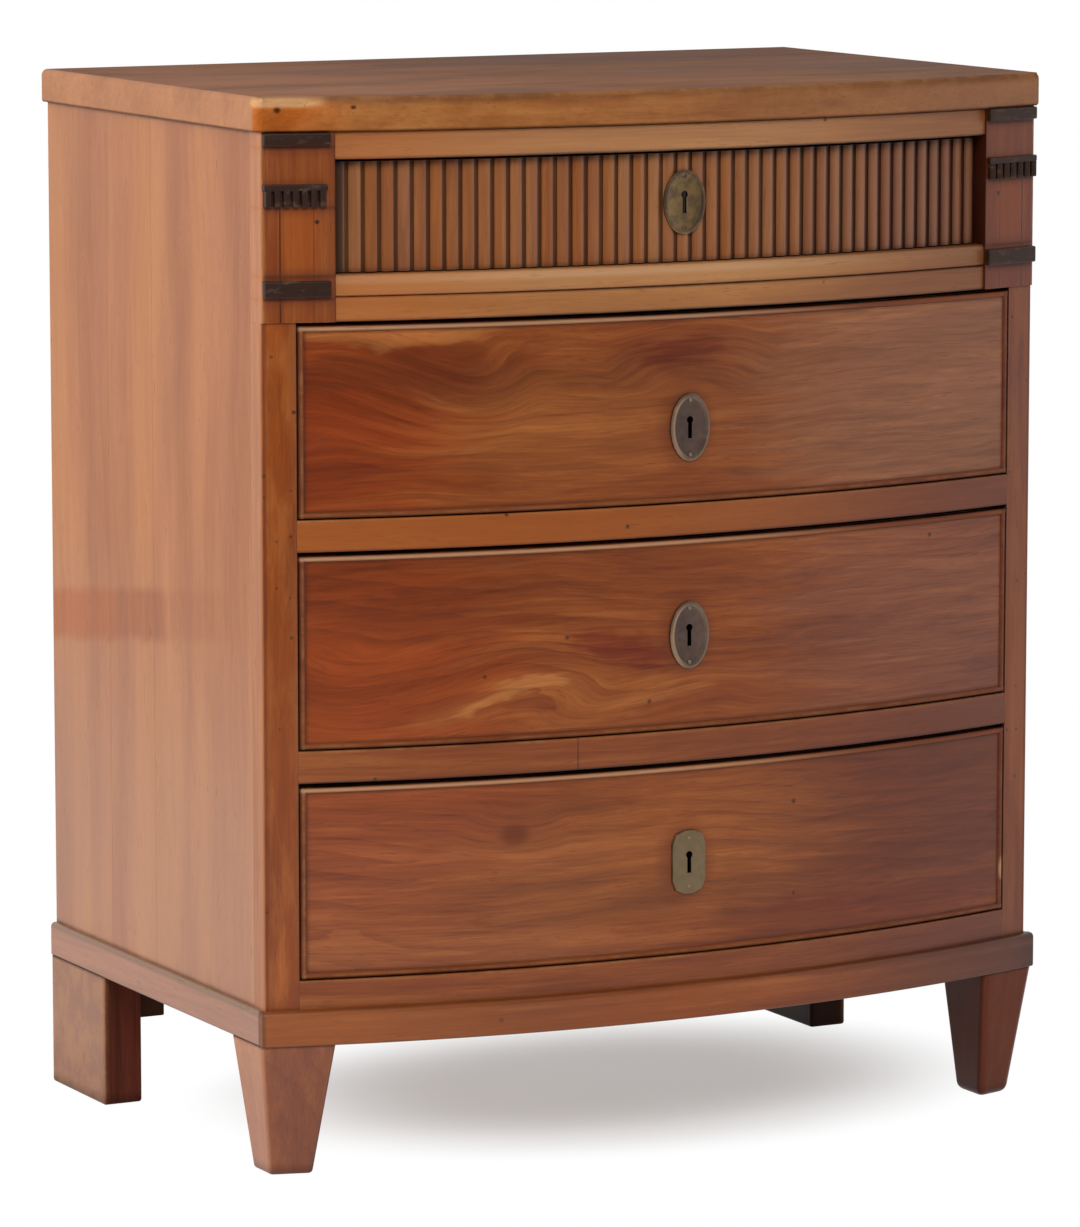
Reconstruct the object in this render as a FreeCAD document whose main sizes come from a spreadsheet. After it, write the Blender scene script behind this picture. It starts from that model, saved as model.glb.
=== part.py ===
import FreeCAD, Part
import math
import os
from types import SimpleNamespace

import Sketcher

# Bow front chest of drawers, in millimetres.
# +X is to the right seen from the front, +Y to the back, +Z up.
# The origin is on the floor, under the middle of the chest's outer box.

SIZES = {
    # Case
    "case_width": 672.0,
    "case_depth": 398.0,
    "bow_rise": 52.0,
    "side_thickness": 25.5,
    "corner_round": 2.0,
    # Heights, from the floor up
    "foot_height": 104.0,
    "plinth_height": 27.0,
    "bottom_rail_height": 22.0,
    "lower_opening": 150.5,
    "lower_divider_height": 25.0,
    "middle_opening": 150.5,
    "upper_divider_height": 24.5,
    "upper_opening": 148.5,
    "frieze_rail_height": 18.5,
    "frieze_moulding_height": 16.5,
    "frieze_opening": 86.0,
    "top_rail_height": 21.0,
    "top_thickness": 26.0,
    # Top board
    "top_overhang": 5.0,
    "top_upper_round": 5.0,
    "top_lower_bevel": 2.0,
    "top_corner_round": 6.0,
    # Rails, stiles and the boards behind them
    "stile_depth": 18.0,
    "rail_depth": 45.0,
    "bottom_rail_thickness": 26.0,
    "tenon_length": 9.0,
    "tenon_thickness": 10.0,
    "tenon_setback": 8.0,
    "tenon_shoulder": 5.0,
    "bottom_thickness": 18.0,
    "bottom_clear_height": 9.0,
    "bottom_housing": 8.0,
    "back_thickness": 12.0,
    "back_rabbet": 12.0,
    "back_board_count": 5,
    "back_board_gap": 0.8,
    # Frieze blocks and their black bands
    "block_width": 54.0,
    "block_projection": 2.0,
    "band_projection": 5.0,
    "upper_band_height": 10.5,
    "lower_band_height": 13.5,
    "dentil_band_drop": 38.5,
    "dentil_fillet_height": 5.0,
    "dentil_tooth_height": 12.0,
    "dentil_tooth_width": 4.8,
    "dentil_count": 7,
    "moulding_bevel": 1.6,
    # Plinth
    "plinth_front_projection": 8.0,
    "plinth_side_projection": 5.0,
    "plinth_upper_bevel": 3.5,
    "plinth_lower_bevel": 1.6,
    # Feet
    "front_foot_top_width": 55.0,
    "front_foot_bottom_width": 32.0,
    "front_foot_depth": 49.0,
    "front_foot_outer_taper": 15.0,
    "front_foot_front_taper": 11.0,
    "front_foot_setback": 1.5,
    "rear_foot_width": 33.0,
    "rear_foot_depth": 105.0,
    "glue_block_width": 23.0,
    "glue_block_depth": 86.0,
    "glue_block_drop": 37.0,
    # Drawer fit
    "drawer_side_gap": 1.0,
    "drawer_top_gap": 2.4,
    "drawer_bottom_gap": 1.0,
    "running_clearance": 0.3,
    "drawer_rear_gap": 8.0,
    # Drawer fronts and their beads
    "front_thickness": 22.0,
    "front_setback": 1.0,
    "bead_width": 5.0,
    "bead_projection": 1.5,
    "bead_depth": 8.0,
    # Drawer boxes
    "drawer_side_thickness": 12.0,
    "drawer_back_thickness": 12.0,
    "drawer_bottom_thickness": 6.0,
    "drawer_bottom_height": 8.0,
    "drawer_side_drop": 7.0,
    "drawer_back_drop": 5.0,
    "groove_depth": 6.0,
    "dovetail_length": 9.0,
    "dovetail_neck": 13.0,
    "dovetail_flare": 1.6,
    "dovetail_margin": 15.0,
    "dovetail_count": 4,
    "frieze_dovetail_count": 3,
    # Reeded frieze drawer
    "frieze_side_gap": 1.5,
    "frieze_recess": 11.0,
    "frieze_core_thickness": 20.0,
    "reed_count": 45,
    "reed_backing": 3.0,
    "reed_side": 1.4,
    "reed_crown": 1.3,
    "reed_gap": 2.4,
    "reed_root": 0.6,
    # Runners, guides, kickers and stops
    "runner_width": 26.0,
    "runner_height": 18.0,
    "frieze_runner_width": 48.0,
    "guide_height": 20.0,
    "stop_offset": 150.0,
    "stop_width": 30.0,
    "stop_depth": 8.0,
    "stop_height": 6.0,
    # Lock plates
    "frieze_key_drop": 40.0,
    "upper_key_drop": 90.0,
    "middle_key_drop": 77.0,
    "lower_key_drop": 78.0,
    "plate_thickness": 2.0,
    "plate_bevel": 1.2,
    "oval_plate_width": 34.0,
    "oval_plate_height": 52.0,
    "oval_end_share": 0.64,
    "frieze_plate_width": 36.0,
    "frieze_plate_height": 49.0,
    "oblong_plate_width": 29.0,
    "oblong_plate_height": 50.0,
    "oblong_corner_width": 8.0,
    "oblong_corner_height": 9.0,
    "keyhole_head": 5.6,
    "keyhole_slot": 3.4,
    "keyhole_height": 17.0,
    # Locks
    "lock_width": 56.0,
    "lock_thickness": 10.0,
    "lock_below_key": 22.0,
    "lock_key_depth": 4.0,
    "bolt_width": 14.0,
    "bolt_thickness": 4.0,
    "bolt_foot_width": 26.0,
    "bolt_foot_height": 10.0,
    "bolt_above_keyhole": 3.0,
    "bolt_top_drop": 0.5,
    "bolt_travel": 8.0,
    "bolt_clearance": 0.3,
    "mortise_clearance": 1.5,
    "mortise_depth": 9.0,
    # Reach of a cutting tool past the face that it cuts
    "overrun": 2.0,
}

doc = FreeCAD.newDocument("bow_front_chest")
sheet = doc.addObject("Spreadsheet::Sheet", "Sizes")
for row, (alias, number) in enumerate(SIZES.items(), start=1):
    sheet.set(f"A{row}", alias)
    sheet.set(f"B{row}", str(number))
    sheet.setAlias(f"B{row}", alias)
doc.recompute()


class Size:
    """A length from the sheet, or one worked out from such lengths, as a number and as an expression."""

    def __init__(self, value, text):
        self.value = value
        self.text = text

    def __add__(self, other):
        other = as_size(other)
        return Size(self.value + other.value, f"({self.text} + {other.text})")

    def __sub__(self, other):
        other = as_size(other)
        return Size(self.value - other.value, f"({self.text} - {other.text})")

    def __mul__(self, other):
        other = as_size(other)
        return Size(self.value * other.value, f"({self.text} * {other.text})")

    def __truediv__(self, other):
        other = as_size(other)
        return Size(self.value / other.value, f"({self.text} / {other.text})")

    def __rmul__(self, other):
        return as_size(other) * self

    def __neg__(self):
        return Size(-self.value, f"(-{self.text})")


def as_size(item):
    """A plain count or ratio as a Size."""
    return item if isinstance(item, Size) else Size(item, str(item))


def root(square):
    """The side of a square."""
    return Size(math.sqrt(square.value), f"sqrt({square.text})")


def arc_angle(opposite, radius):
    """The angle in degrees between the bow's middle line and a point at that distance from it."""
    ratio = opposite / radius
    return Size(math.degrees(math.asin(ratio.value)), f"asin({ratio.text})")


size = SimpleNamespace(**{alias: Size(float(sheet.get(alias)), f"Sizes.{alias}") for alias in SIZES})
ZERO = as_size(0)
NEAR = 1e-4
SLOPING = 0.5

# Levels, from the floor up
case_bottom = size.foot_height
plinth_top = case_bottom + size.plinth_height
lower_floor = plinth_top + size.bottom_rail_height
lower_ceiling = lower_floor + size.lower_opening
middle_floor = lower_ceiling + size.lower_divider_height
middle_ceiling = middle_floor + size.middle_opening
upper_floor = middle_ceiling + size.upper_divider_height
upper_ceiling = upper_floor + size.upper_opening
frieze_rail_top = upper_ceiling + size.frieze_rail_height
frieze_floor = frieze_rail_top + size.frieze_moulding_height
frieze_ceiling = frieze_floor + size.frieze_opening
case_top = frieze_ceiling + size.top_rail_height
bottom_low = case_bottom + size.bottom_clear_height
bottom_top = bottom_low + size.bottom_thickness

# Depths, and the upright axis that every bowed face is round
back_y = (size.case_depth + size.bow_rise + size.plinth_front_projection) / 2
corner_y = back_y - size.case_depth
half_width = size.case_width / 2
bow_radius = half_width * half_width / (2 * size.bow_rise) + size.bow_rise / 2
bow_axis_y = corner_y - size.bow_rise + bow_radius
stile_back_y = corner_y + size.stile_depth
rail_back_y = corner_y + size.rail_depth
back_front_y = back_y - size.back_thickness

# Half widths, out from the middle
half_opening = half_width - size.side_thickness
half_frieze = half_width - size.block_width
half_top = half_width + size.top_overhang
half_plinth = half_width + size.plinth_side_projection

nodes = {}


def keep(label, part):
    """Hand in an object as a sub-part under its own name."""
    part.Label = label
    nodes[label] = part
    return part


def bind(part, target, length):
    """Tie a property to the sheet."""
    part.setExpression(target, length.text)


def place(part, x, y, z):
    """Tie an object's place to the sheet."""
    for axis, length in zip("xyz", (x, y, z)):
        bind(part, f"Placement.Base.{axis}", length)


def box(name, x, y, z):
    """A box between two limits along each axis."""
    solid = doc.addObject("Part::Box", name)
    for side, (low, high) in zip(("Length", "Width", "Height"), (x, y, z)):
        bind(solid, side, high - low)
    place(solid, x[0], y[0], z[0])
    return solid


def cut(name, base, tools):
    """A solid less each of the tools in turn."""
    for tool in tools:
        step = doc.addObject("Part::Cut", name)
        step.Base = base
        step.Tool = tool
        base = step
    return base


def group(name, members):
    """Separate solids that share one node."""
    compound = doc.addObject("Part::Compound", name)
    compound.Links = members
    return compound


def outward(sign, inner, outer):
    """The limits of a piece on the left (-1) or right (1), as low and high X."""
    return (inner, outer) if sign > 0 else (-outer, -inner)


def origin_feature(body, role):
    """A plane or an axis of a body's own origin."""
    return next(item for item in body.Origin.OriginFeatures if item.Role == role)


def sketch_in(body, name, plane="XY_Plane", lift=ZERO):
    """A sketch on one of the body's planes, lifted off it along its normal."""
    sketch = body.newObject("Sketcher::SketchObject", name)
    sketch.AttachmentSupport = [(origin_feature(body, plane), "")]
    sketch.MapMode = "FlatFace"
    bind(sketch, "AttachmentOffset.Base.z", lift)
    return sketch


def bind_constraint(sketch, length, kind, *where):
    """Add a dimension to a sketch and tie it to the sheet."""
    index = sketch.addConstraint(Sketcher.Constraint(kind, *where, length.value))
    bind(sketch, f"Constraints[{index}]", length)


def hold(sketch, curve, point, x=None, y=None):
    """Keep a point of a curve at distances from the sketch's origin."""
    for kind, axis, length in (("DistanceX", -2, x), ("DistanceY", -1, y)):
        if length is None:
            continue
        if length is ZERO:
            sketch.addConstraint(Sketcher.Constraint("PointOnObject", curve, point, axis))
        elif length.value > 0:
            bind_constraint(sketch, length, kind, -1, 1, curve, point)
        else:
            bind_constraint(sketch, -length, kind, curve, point, -1, 1)


def join(sketch, curve, point, other, other_point):
    """Make two ends meet."""
    sketch.addConstraint(Sketcher.Constraint("Coincident", curve, point, other, other_point))


def polygon(sketch, corners):
    """A closed outline of straight lines."""
    points = [FreeCAD.Vector(x.value, y.value, 0) for x, y in corners]
    for index, point in enumerate(points):
        sketch.addGeometry(Part.LineSegment(point, points[(index + 1) % len(points)]), False)
    for index, (x, y) in enumerate(corners):
        join(sketch, index, 2, (index + 1) % len(corners), 1)
        hold(sketch, index, 1, x, y)


def arc_about_axis(sketch, radius, left, right):
    """An arc round the bow's axis, open to the front, between two distances from the middle."""
    angles = [-math.pi / 2 + math.asin(end.value / radius.value) for end in (left, right)]
    circle = Part.Circle(FreeCAD.Vector(), FreeCAD.Vector(0, 0, 1), radius.value)
    arc = sketch.addGeometry(Part.ArcOfCircle(circle, *angles), False)
    join(sketch, arc, 3, -1, 1)
    bind_constraint(sketch, radius, "Radius", arc)
    return arc


def bowed_plan(sketch, outer, left, right, inner=None, back=None):
    """A board from above: an arc in front, straight ends, and an arc or a straight line behind."""
    front = arc_about_axis(sketch, outer, left, right)
    hold(sketch, front, 1, x=left)
    hold(sketch, front, 2, x=right)
    if inner is None:
        depths = [back.value, back.value]
    else:
        depths = [-math.sqrt(inner.value ** 2 - end.value ** 2) for end in (left, right)]
        rear = arc_about_axis(sketch, inner, left, right)
    rear_points = [FreeCAD.Vector(end.value, depth, 0) for end, depth in zip((left, right), depths)]
    if inner is None:
        rear = sketch.addGeometry(Part.LineSegment(*rear_points), False)
        sketch.addConstraint(Sketcher.Constraint("Horizontal", rear))
        hold(sketch, rear, 1, y=back)
    for end, length in ((1, left), (2, right)):
        depth = -math.sqrt(outer.value ** 2 - length.value ** 2)
        front_point = FreeCAD.Vector(length.value, depth, 0)
        side = sketch.addGeometry(Part.LineSegment(front_point, rear_points[end - 1]), False)
        sketch.addConstraint(Sketcher.Constraint("Vertical", side))
        join(sketch, side, 1, front, end)
        join(sketch, side, 2, rear, end)


def pad(body, sketch, length):
    """Raise a sketch into a solid."""
    feature = body.newObject("PartDesign::Pad", f"{sketch.Name}_pad")
    feature.Profile = sketch
    bind(feature, "Length", length)
    return feature


def bowed_body(name, low, high):
    """A body whose own Z axis is the bow's axis, between two levels, with its height."""
    body = doc.addObject("PartDesign::Body", name)
    place(body, ZERO, bow_axis_y, low)
    return body, high - low


def bowed_board(name, low, high, outer, left, right, inner=None, back=None):
    """A bowed board between two levels, as a body and its pad."""
    body, height = bowed_body(name, low, high)
    plan = sketch_in(body, f"{name}_plan")
    if back is not None:
        back = back - bow_axis_y
    bowed_plan(plan, outer, left, right, inner, back)
    return body, pad(body, plan, height)


def dress_edges(body, feature, kind, target, length, wanted):
    """Round or bevel the edges of a feature that the test accepts."""
    doc.recompute()
    names = [f"Edge{index}" for index, edge in enumerate(feature.Shape.Edges, start=1) if wanted(edge)]
    dressing = body.newObject(f"PartDesign::{kind}", f"{feature.Name}_{kind.lower()}")
    dressing.Base = (feature, names)
    bind(dressing, target, length)
    return dressing


def round_edges(body, feature, radius, wanted):
    """Round the edges of a feature that the test accepts."""
    return dress_edges(body, feature, "Fillet", "Radius", radius, wanted)


def bevel_edges(body, feature, width, wanted):
    """Bevel the edges of a feature that the test accepts."""
    return dress_edges(body, feature, "Chamfer", "Size", width, wanted)


def lean_face(body, feature, run, rise, wanted):
    """Lean the face that the test accepts outwards, by a run over a rise, from where it meets the floor."""
    doc.recompute()
    names = [f"Face{index}" for index, face in enumerate(feature.Shape.Faces, start=1) if wanted(face)]
    lean = body.newObject("PartDesign::Draft", f"{feature.Name}_lean")
    lean.Base = (feature, names)
    lean.NeutralPlane = (origin_feature(body, "XY_Plane"), [""])
    lean.Reversed = True
    bind(lean, "Angle", arc_angle(run, root(run * run + rise * rise)))
    return lean


def on_arc(radius, level=None):
    """A test for the edges along a face of this radius, at one level or at any."""
    def wanted(edge):
        along = isinstance(edge.Curve, Part.Circle) and abs(edge.Curve.Radius - radius.value) < NEAR
        return along and (level is None or abs(edge.Vertexes[0].Z - level.value) < NEAR)
    return wanted


def upright_on(radius, x=None):
    """A test for the upright edges of a face of this radius, at one distance from the middle or at any."""
    def wanted(edge):
        points = [vertex.Point for vertex in edge.Vertexes]
        if len(points) < 2 or abs(points[0].z - points[1].z) < NEAR:
            return False
        along = all(abs(math.hypot(point.x, point.y) - radius.value) < NEAR for point in points)
        return along and (x is None or all(abs(point.x - x.value) < NEAR for point in points))
    return wanted


def standing(edge):
    """A test for the edges that rise more than they run."""
    start, end = (vertex.Point for vertex in edge.Vertexes)
    return abs(end.z - start.z) > SLOPING * edge.Length


def at_level(z, ahead_of):
    """A test for the edges at one level that lie ahead of a depth."""
    def wanted(edge):
        level = all(abs(vertex.Z - z.value) < NEAR for vertex in edge.Vertexes)
        return level and edge.CenterOfMass.y < ahead_of.value - NEAR
    return wanted


def straight_along(x, z):
    """A test for the edges that run to the back at one distance from the middle and one level."""
    def wanted(edge):
        gaps = [(abs(vertex.X - x.value), abs(vertex.Z - z.value)) for vertex in edge.Vertexes]
        return all(max(gap) < NEAR for gap in gaps)
    return wanted


# Top board

def make_top_board():
    """The top: a bowed slab with rounded corners and edges, flush with the back."""
    front = bow_radius + size.top_overhang
    back = back_y - bow_axis_y
    top = case_top + size.top_thickness
    body, feature = bowed_board("top_board", case_top, top, front, -half_top, half_top, back=back_y)
    feature = round_edges(body, feature, size.top_corner_round, upright_on(front))
    feature = round_edges(body, feature, size.top_upper_round, at_level(size.top_thickness, back))
    bevel_edges(body, feature, size.top_lower_bevel, at_level(ZERO, back))
    return keep("top_board", body)


# Front frame

def make_rail(name, low, high, half, inner=None):
    """A rail between two stiles or blocks, with a stub tenon at each end."""
    back = rail_back_y if inner is None else None
    body, _ = bowed_board(name, low, high, bow_radius, -half, half, inner, back)
    tenon = sketch_in(body, f"{name}_tenon", lift=size.tenon_shoulder)
    reach = half + size.tenon_length
    outer = bow_radius - size.tenon_setback
    bowed_plan(tenon, outer, -reach, reach, inner=outer - size.tenon_thickness)
    pad(body, tenon, high - low - 2 * size.tenon_shoulder)
    return body


def bolt_mortise(name, radius, ceiling):
    """The slot in a rail's underside that takes a lock bolt."""
    half = size.bolt_width / 2 + size.mortise_clearance
    middle = bow_axis_y - radius - size.lock_thickness / 2
    reach = size.bolt_thickness / 2 + size.mortise_clearance
    depth = (middle - reach, middle + reach)
    return box(name, (-half, half), depth, (ceiling - size.overrun, ceiling + size.mortise_depth))


front_inner = bow_radius - size.front_setback - size.front_thickness
core_outer = bow_radius - size.frieze_recess - size.reed_crown - size.reed_side - size.reed_backing
core_inner = core_outer - size.frieze_core_thickness


def make_rails():
    """The rails across the front, each with the mortise for the bolt below it."""
    rails = {}
    for label, low, high, half, lock_radius in (
        ("top_rail", frieze_ceiling, case_top, half_frieze, core_inner),
        ("frieze_rail", upper_ceiling, frieze_rail_top, half_frieze, front_inner),
        ("upper_divider_rail", middle_ceiling, upper_floor, half_opening, front_inner),
        ("lower_divider_rail", lower_ceiling, middle_floor, half_opening, front_inner),
    ):
        blank = make_rail(f"{label}_blank", low, high, half)
        mortise = bolt_mortise(f"{label}_mortise", lock_radius, low)
        rails[label] = keep(label, cut(label, blank, [mortise]))
    inner = bow_radius - size.bottom_rail_thickness
    bottom_rail = make_rail("bottom_rail", case_bottom, lower_floor, half_opening, inner)
    rails["bottom_rail"] = keep("bottom_rail", bottom_rail)
    return rails


def make_frieze_moulding():
    """The strip on the frieze rail that the reeded drawer slides over."""
    ends = (-half_frieze, half_frieze)
    body, feature = bowed_board(
        "frieze_moulding", frieze_rail_top, frieze_floor, bow_radius, *ends, back=rail_back_y
    )
    bevel_edges(body, feature, size.moulding_bevel, on_arc(bow_radius))
    return keep("frieze_moulding", body)


def make_uprights(rails):
    """The stiles beside the drawers and the blocks beside the reeded front, mortised for the rails."""
    face = bow_radius + size.block_projection
    for side, sign in (("left", -1), ("right", 1)):
        edge = as_size(sign) * half_width
        stile_ends = outward(sign, half_opening, half_width)
        body, feature = bowed_board(
            f"{side}_stile_blank", case_bottom, upper_ceiling, bow_radius, *stile_ends, back=stile_back_y
        )
        round_edges(body, feature, size.corner_round, upright_on(bow_radius, edge))
        tools = [rails[label] for label in ("upper_divider_rail", "lower_divider_rail", "bottom_rail")]
        keep(f"{side}_stile", cut(f"{side}_stile", body, tools))
        block_ends = outward(sign, half_frieze, half_width)
        body, feature = bowed_board(
            f"{side}_block_blank", upper_ceiling, case_top, face, *block_ends, back=stile_back_y
        )
        round_edges(body, feature, size.corner_round, upright_on(face, edge))
        tools = [rails[label] for label in ("top_rail", "frieze_rail")]
        keep(f"{side}_frieze_block", cut(f"{side}_frieze_block", body, tools))


def make_bands():
    """The black bands across the frieze blocks: two plain ones and a dentil band on each."""
    inner = bow_radius + size.block_projection
    outer = inner + size.band_projection
    dentil_top = case_top - size.dentil_band_drop
    fillet_low = dentil_top - size.dentil_fillet_height
    plain = []
    dentils = []
    for side, sign in (("left", -1), ("right", 1)):
        low_x, high_x = outward(sign, half_frieze, half_width)
        for level, low, high in (
            ("upper", case_top - size.upper_band_height, case_top),
            ("lower", frieze_rail_top, frieze_rail_top + size.lower_band_height),
        ):
            body, _ = bowed_board(f"{side}_{level}_band", low, high, outer, low_x, high_x, inner)
            plain.append(body)
        body, _ = bowed_board(f"{side}_dentil_band", fillet_low, dentil_top, outer, low_x, high_x, inner)
        tooth = sketch_in(body, f"{side}_tooth", lift=-size.dentil_tooth_height)
        bowed_plan(tooth, outer, low_x, low_x + size.dentil_tooth_width, inner)
        first = pad(body, tooth, size.dentil_tooth_height)
        last_x = high_x - size.dentil_tooth_width
        sweep = arc_angle(last_x, outer) - arc_angle(low_x, outer)
        repeat_round_axis(body, first, sweep, size.dentil_count)
        dentils.append(body)
    keep("plain_bands", group("plain_bands", plain))
    keep("dentil_bands", group("dentil_bands", dentils))


def repeat_round_axis(body, feature, sweep, count):
    """Repeat a feature at equal angles round the bow's axis."""
    pattern = body.newObject("PartDesign::PolarPattern", f"{feature.Name}_pattern")
    pattern.Originals = [feature]
    pattern.Axis = (origin_feature(body, "Z_Axis"), [""])
    bind(pattern, "Angle", sweep)
    bind(pattern, "Occurrences", count)
    body.Tip = pattern


# Case

def make_bottom_board():
    """The bottom, housed in both sides behind the bottom rail."""
    reach = half_opening + size.bottom_housing
    outer = bow_radius - size.bottom_rail_thickness
    body, _ = bowed_board("bottom_board", bottom_low, bottom_top, outer, -reach, reach, back=back_front_y)
    return keep("bottom_board", body)


def make_side_panels(bottom_board):
    """The sides, each rabbeted for the back and housed for the bottom."""
    for side, sign in (("left", -1), ("right", 1)):
        label = f"{side}_side_panel"
        thickness = outward(sign, half_opening, half_width)
        panel = box(f"{label}_blank", thickness, (stile_back_y, back_y), (case_bottom, case_top))
        rabbet = box(
            f"{side}_rabbet",
            outward(sign, half_opening - size.overrun, half_opening + size.back_rabbet),
            (back_front_y, back_y + size.overrun),
            (case_bottom - size.overrun, case_top + size.overrun),
        )
        keep(label, cut(label, panel, [rabbet, bottom_board]))


def make_back_boards():
    """The back: level boards, one above another, in the rabbets of the sides."""
    reach = half_opening + size.back_rabbet
    count = SIZES["back_board_count"]
    pitch = (case_top - case_bottom + size.back_board_gap) / size.back_board_count
    boards = []
    for index in range(count):
        low = case_bottom + pitch * index
        high = low + pitch - size.back_board_gap
        boards.append(box(f"back_board_{index + 1}", (-reach, reach), (back_front_y, back_y), (low, high)))
    keep("back_boards", group("back_boards", boards))


def make_plinth():
    """The plinth moulding: one bowed strip across the front and a straight one along each side."""
    face = bow_radius + size.plinth_front_projection
    body, feature = bowed_board(
        "front_plinth", case_bottom, plinth_top, face, -half_plinth, half_plinth, inner=bow_radius
    )
    feature = bevel_edges(body, feature, size.plinth_upper_bevel, on_arc(face, size.plinth_height))
    bevel_edges(body, feature, size.plinth_lower_bevel, on_arc(face, ZERO))
    keep("front_plinth", body)
    for side, sign in (("left", -1), ("right", 1)):
        label = f"{side}_plinth"
        ends = outward(sign, half_width, half_plinth)
        body, feature = bowed_board(label, case_bottom, plinth_top, bow_radius, *ends, back=back_y)
        outside = as_size(sign) * half_plinth
        upper = straight_along(outside, size.plinth_height)
        feature = bevel_edges(body, feature, size.plinth_upper_bevel, upper)
        bevel_edges(body, feature, size.plinth_lower_bevel, straight_along(outside, ZERO))
        keep(label, body)


# Feet

def make_front_feet():
    """The front feet: blocks under the corners that lean out to the outside, the inside and the front."""
    face = bow_radius + size.plinth_front_projection - size.front_foot_setback
    inner_top = half_plinth - size.front_foot_top_width
    outer_bottom = half_plinth - size.front_foot_outer_taper
    inner_bottom = outer_bottom - size.front_foot_bottom_width
    outer_front = bow_axis_y - root(face * face - half_plinth * half_plinth)
    inner_front = bow_axis_y - root(face * face - inner_top * inner_top)
    slant = (inner_front - outer_front) / size.front_foot_top_width
    back = corner_y + size.front_foot_depth
    front = outer_front + size.front_foot_front_taper
    inner_end = front + slant * size.front_foot_bottom_width
    front_run = size.front_foot_front_taper - slant * size.front_foot_outer_taper
    leans = (
        (size.front_foot_outer_taper, lambda normal, sign: normal.x * sign > 1 - NEAR),
        (inner_bottom - inner_top, lambda normal, sign: normal.x * sign < NEAR - 1),
        (front_run / root(as_size(1) + slant * slant), lambda normal, sign: normal.y < -SLOPING),
    )
    for side, sign in (("left", -1), ("right", 1)):
        label = f"front_{side}_foot"
        body = doc.addObject("PartDesign::Body", label)
        sole = sketch_in(body, f"{label}_sole")
        outer_x = as_size(sign) * outer_bottom
        inner_x = as_size(sign) * inner_bottom
        polygon(sole, [(outer_x, front), (inner_x, inner_end), (inner_x, back), (outer_x, back)])
        feature = pad(body, sole, size.foot_height)
        for run, faces_it in leans:
            feature = lean_face(
                body, feature, run, size.foot_height, lambda face: faces_it(face.normalAt(0, 0), sign)
            )
        bevel_edges(body, feature, size.corner_round, standing)
        keep(label, body)


def eased_outline(sketch, corners):
    """A closed outline of straight lines whose corners are cut off by the same length each way."""
    points = []
    for index, (x, y) in enumerate(corners):
        for neighbour in (corners[index - 1], corners[(index + 1) % len(corners)]):
            run_x = neighbour[0] - x
            run_y = neighbour[1] - y
            share = size.corner_round / root(run_x * run_x + run_y * run_y)
            points.append((x + run_x * share, y + run_y * share))
    polygon(sketch, points)


def make_rear_feet():
    """The rear feet: straight boards flush with the plinth's sides and the back."""
    for side, sign in (("left", -1), ("right", 1)):
        label = f"rear_{side}_foot"
        body = doc.addObject("PartDesign::Body", label)
        plan = sketch_in(body, f"{label}_plan")
        low_x, high_x = outward(sign, half_plinth - size.rear_foot_width, half_plinth)
        front = back_y - size.rear_foot_depth
        eased_outline(plan, [(low_x, front), (high_x, front), (high_x, back_y), (low_x, back_y)])
        pad(body, plan, size.foot_height)
        keep(label, body)


def make_glue_blocks():
    """The blocks that hold each foot to the bottom from inside."""
    blocks = []
    low = case_bottom - size.glue_block_drop
    front_back = corner_y + size.front_foot_depth
    rear_front = back_front_y - size.glue_block_depth
    for side, sign in (("left", -1), ("right", 1)):
        front_x = outward(sign, half_opening - size.glue_block_width, half_opening)
        rear_outer = half_plinth - size.rear_foot_width
        rear_x = outward(sign, rear_outer - size.glue_block_width, rear_outer)
        front_y = (front_back, front_back + size.glue_block_width)
        blocks.append(box(f"front_{side}_block", front_x, front_y, (low, bottom_low)))
        blocks.append(box(f"rear_{side}_block", rear_x, (rear_front, back_front_y), (low, bottom_low)))
    keep("foot_glue_blocks", group("foot_glue_blocks", blocks))


# What the drawers run on

def make_runners():
    """The runners behind the rails, one at each side of every drawer, with the frieze drawer's guides."""
    runners = []
    guides = []
    for side, sign in (("left", -1), ("right", 1)):
        reach = outward(sign, half_opening - size.runner_width, half_opening)
        for level, floor in (("lower", lower_floor), ("middle", middle_floor), ("upper", upper_floor)):
            start = corner_y + size.bottom_rail_thickness if level == "lower" else rail_back_y
            heights = (floor - size.runner_height, floor)
            runners.append(box(f"{side}_{level}_runner", reach, (start, back_front_y), heights))
        wide = outward(sign, half_opening - size.frieze_runner_width, half_opening)
        heights = (frieze_floor - size.runner_height, frieze_floor)
        runners.append(box(f"{side}_frieze_runner", wide, (rail_back_y, back_front_y), heights))
        beside = outward(sign, half_frieze, half_opening)
        heights = (frieze_floor, frieze_floor + size.guide_height)
        guides.append(box(f"{side}_guide", beside, (stile_back_y, back_front_y), heights))
        guides.append(box(f"{side}_kicker", wide, (rail_back_y, back_front_y), (frieze_ceiling, case_top)))
    keep("drawer_runners", group("drawer_runners", runners))
    keep("frieze_guides", group("frieze_guides", guides))


def make_stops():
    """The blocks on the rails that the closed drawer fronts come up against."""
    stops = []
    for level, floor, radius in (
        ("lower", lower_floor, front_inner),
        ("middle", middle_floor, front_inner),
        ("upper", upper_floor, front_inner),
        ("frieze", frieze_floor, core_inner),
    ):
        top = floor + size.stop_height
        outer = radius - size.running_clearance
        inner = outer - size.stop_depth
        for side, sign in (("left", -1), ("right", 1)):
            ends = outward(sign, size.stop_offset, size.stop_offset + size.stop_width)
            body, _ = bowed_board(f"{level}_{side}_stop", floor, top, outer, *ends, inner)
            stops.append(body)
    keep("drawer_stops", group("drawer_stops", stops))


# Locks and their plates

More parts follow.
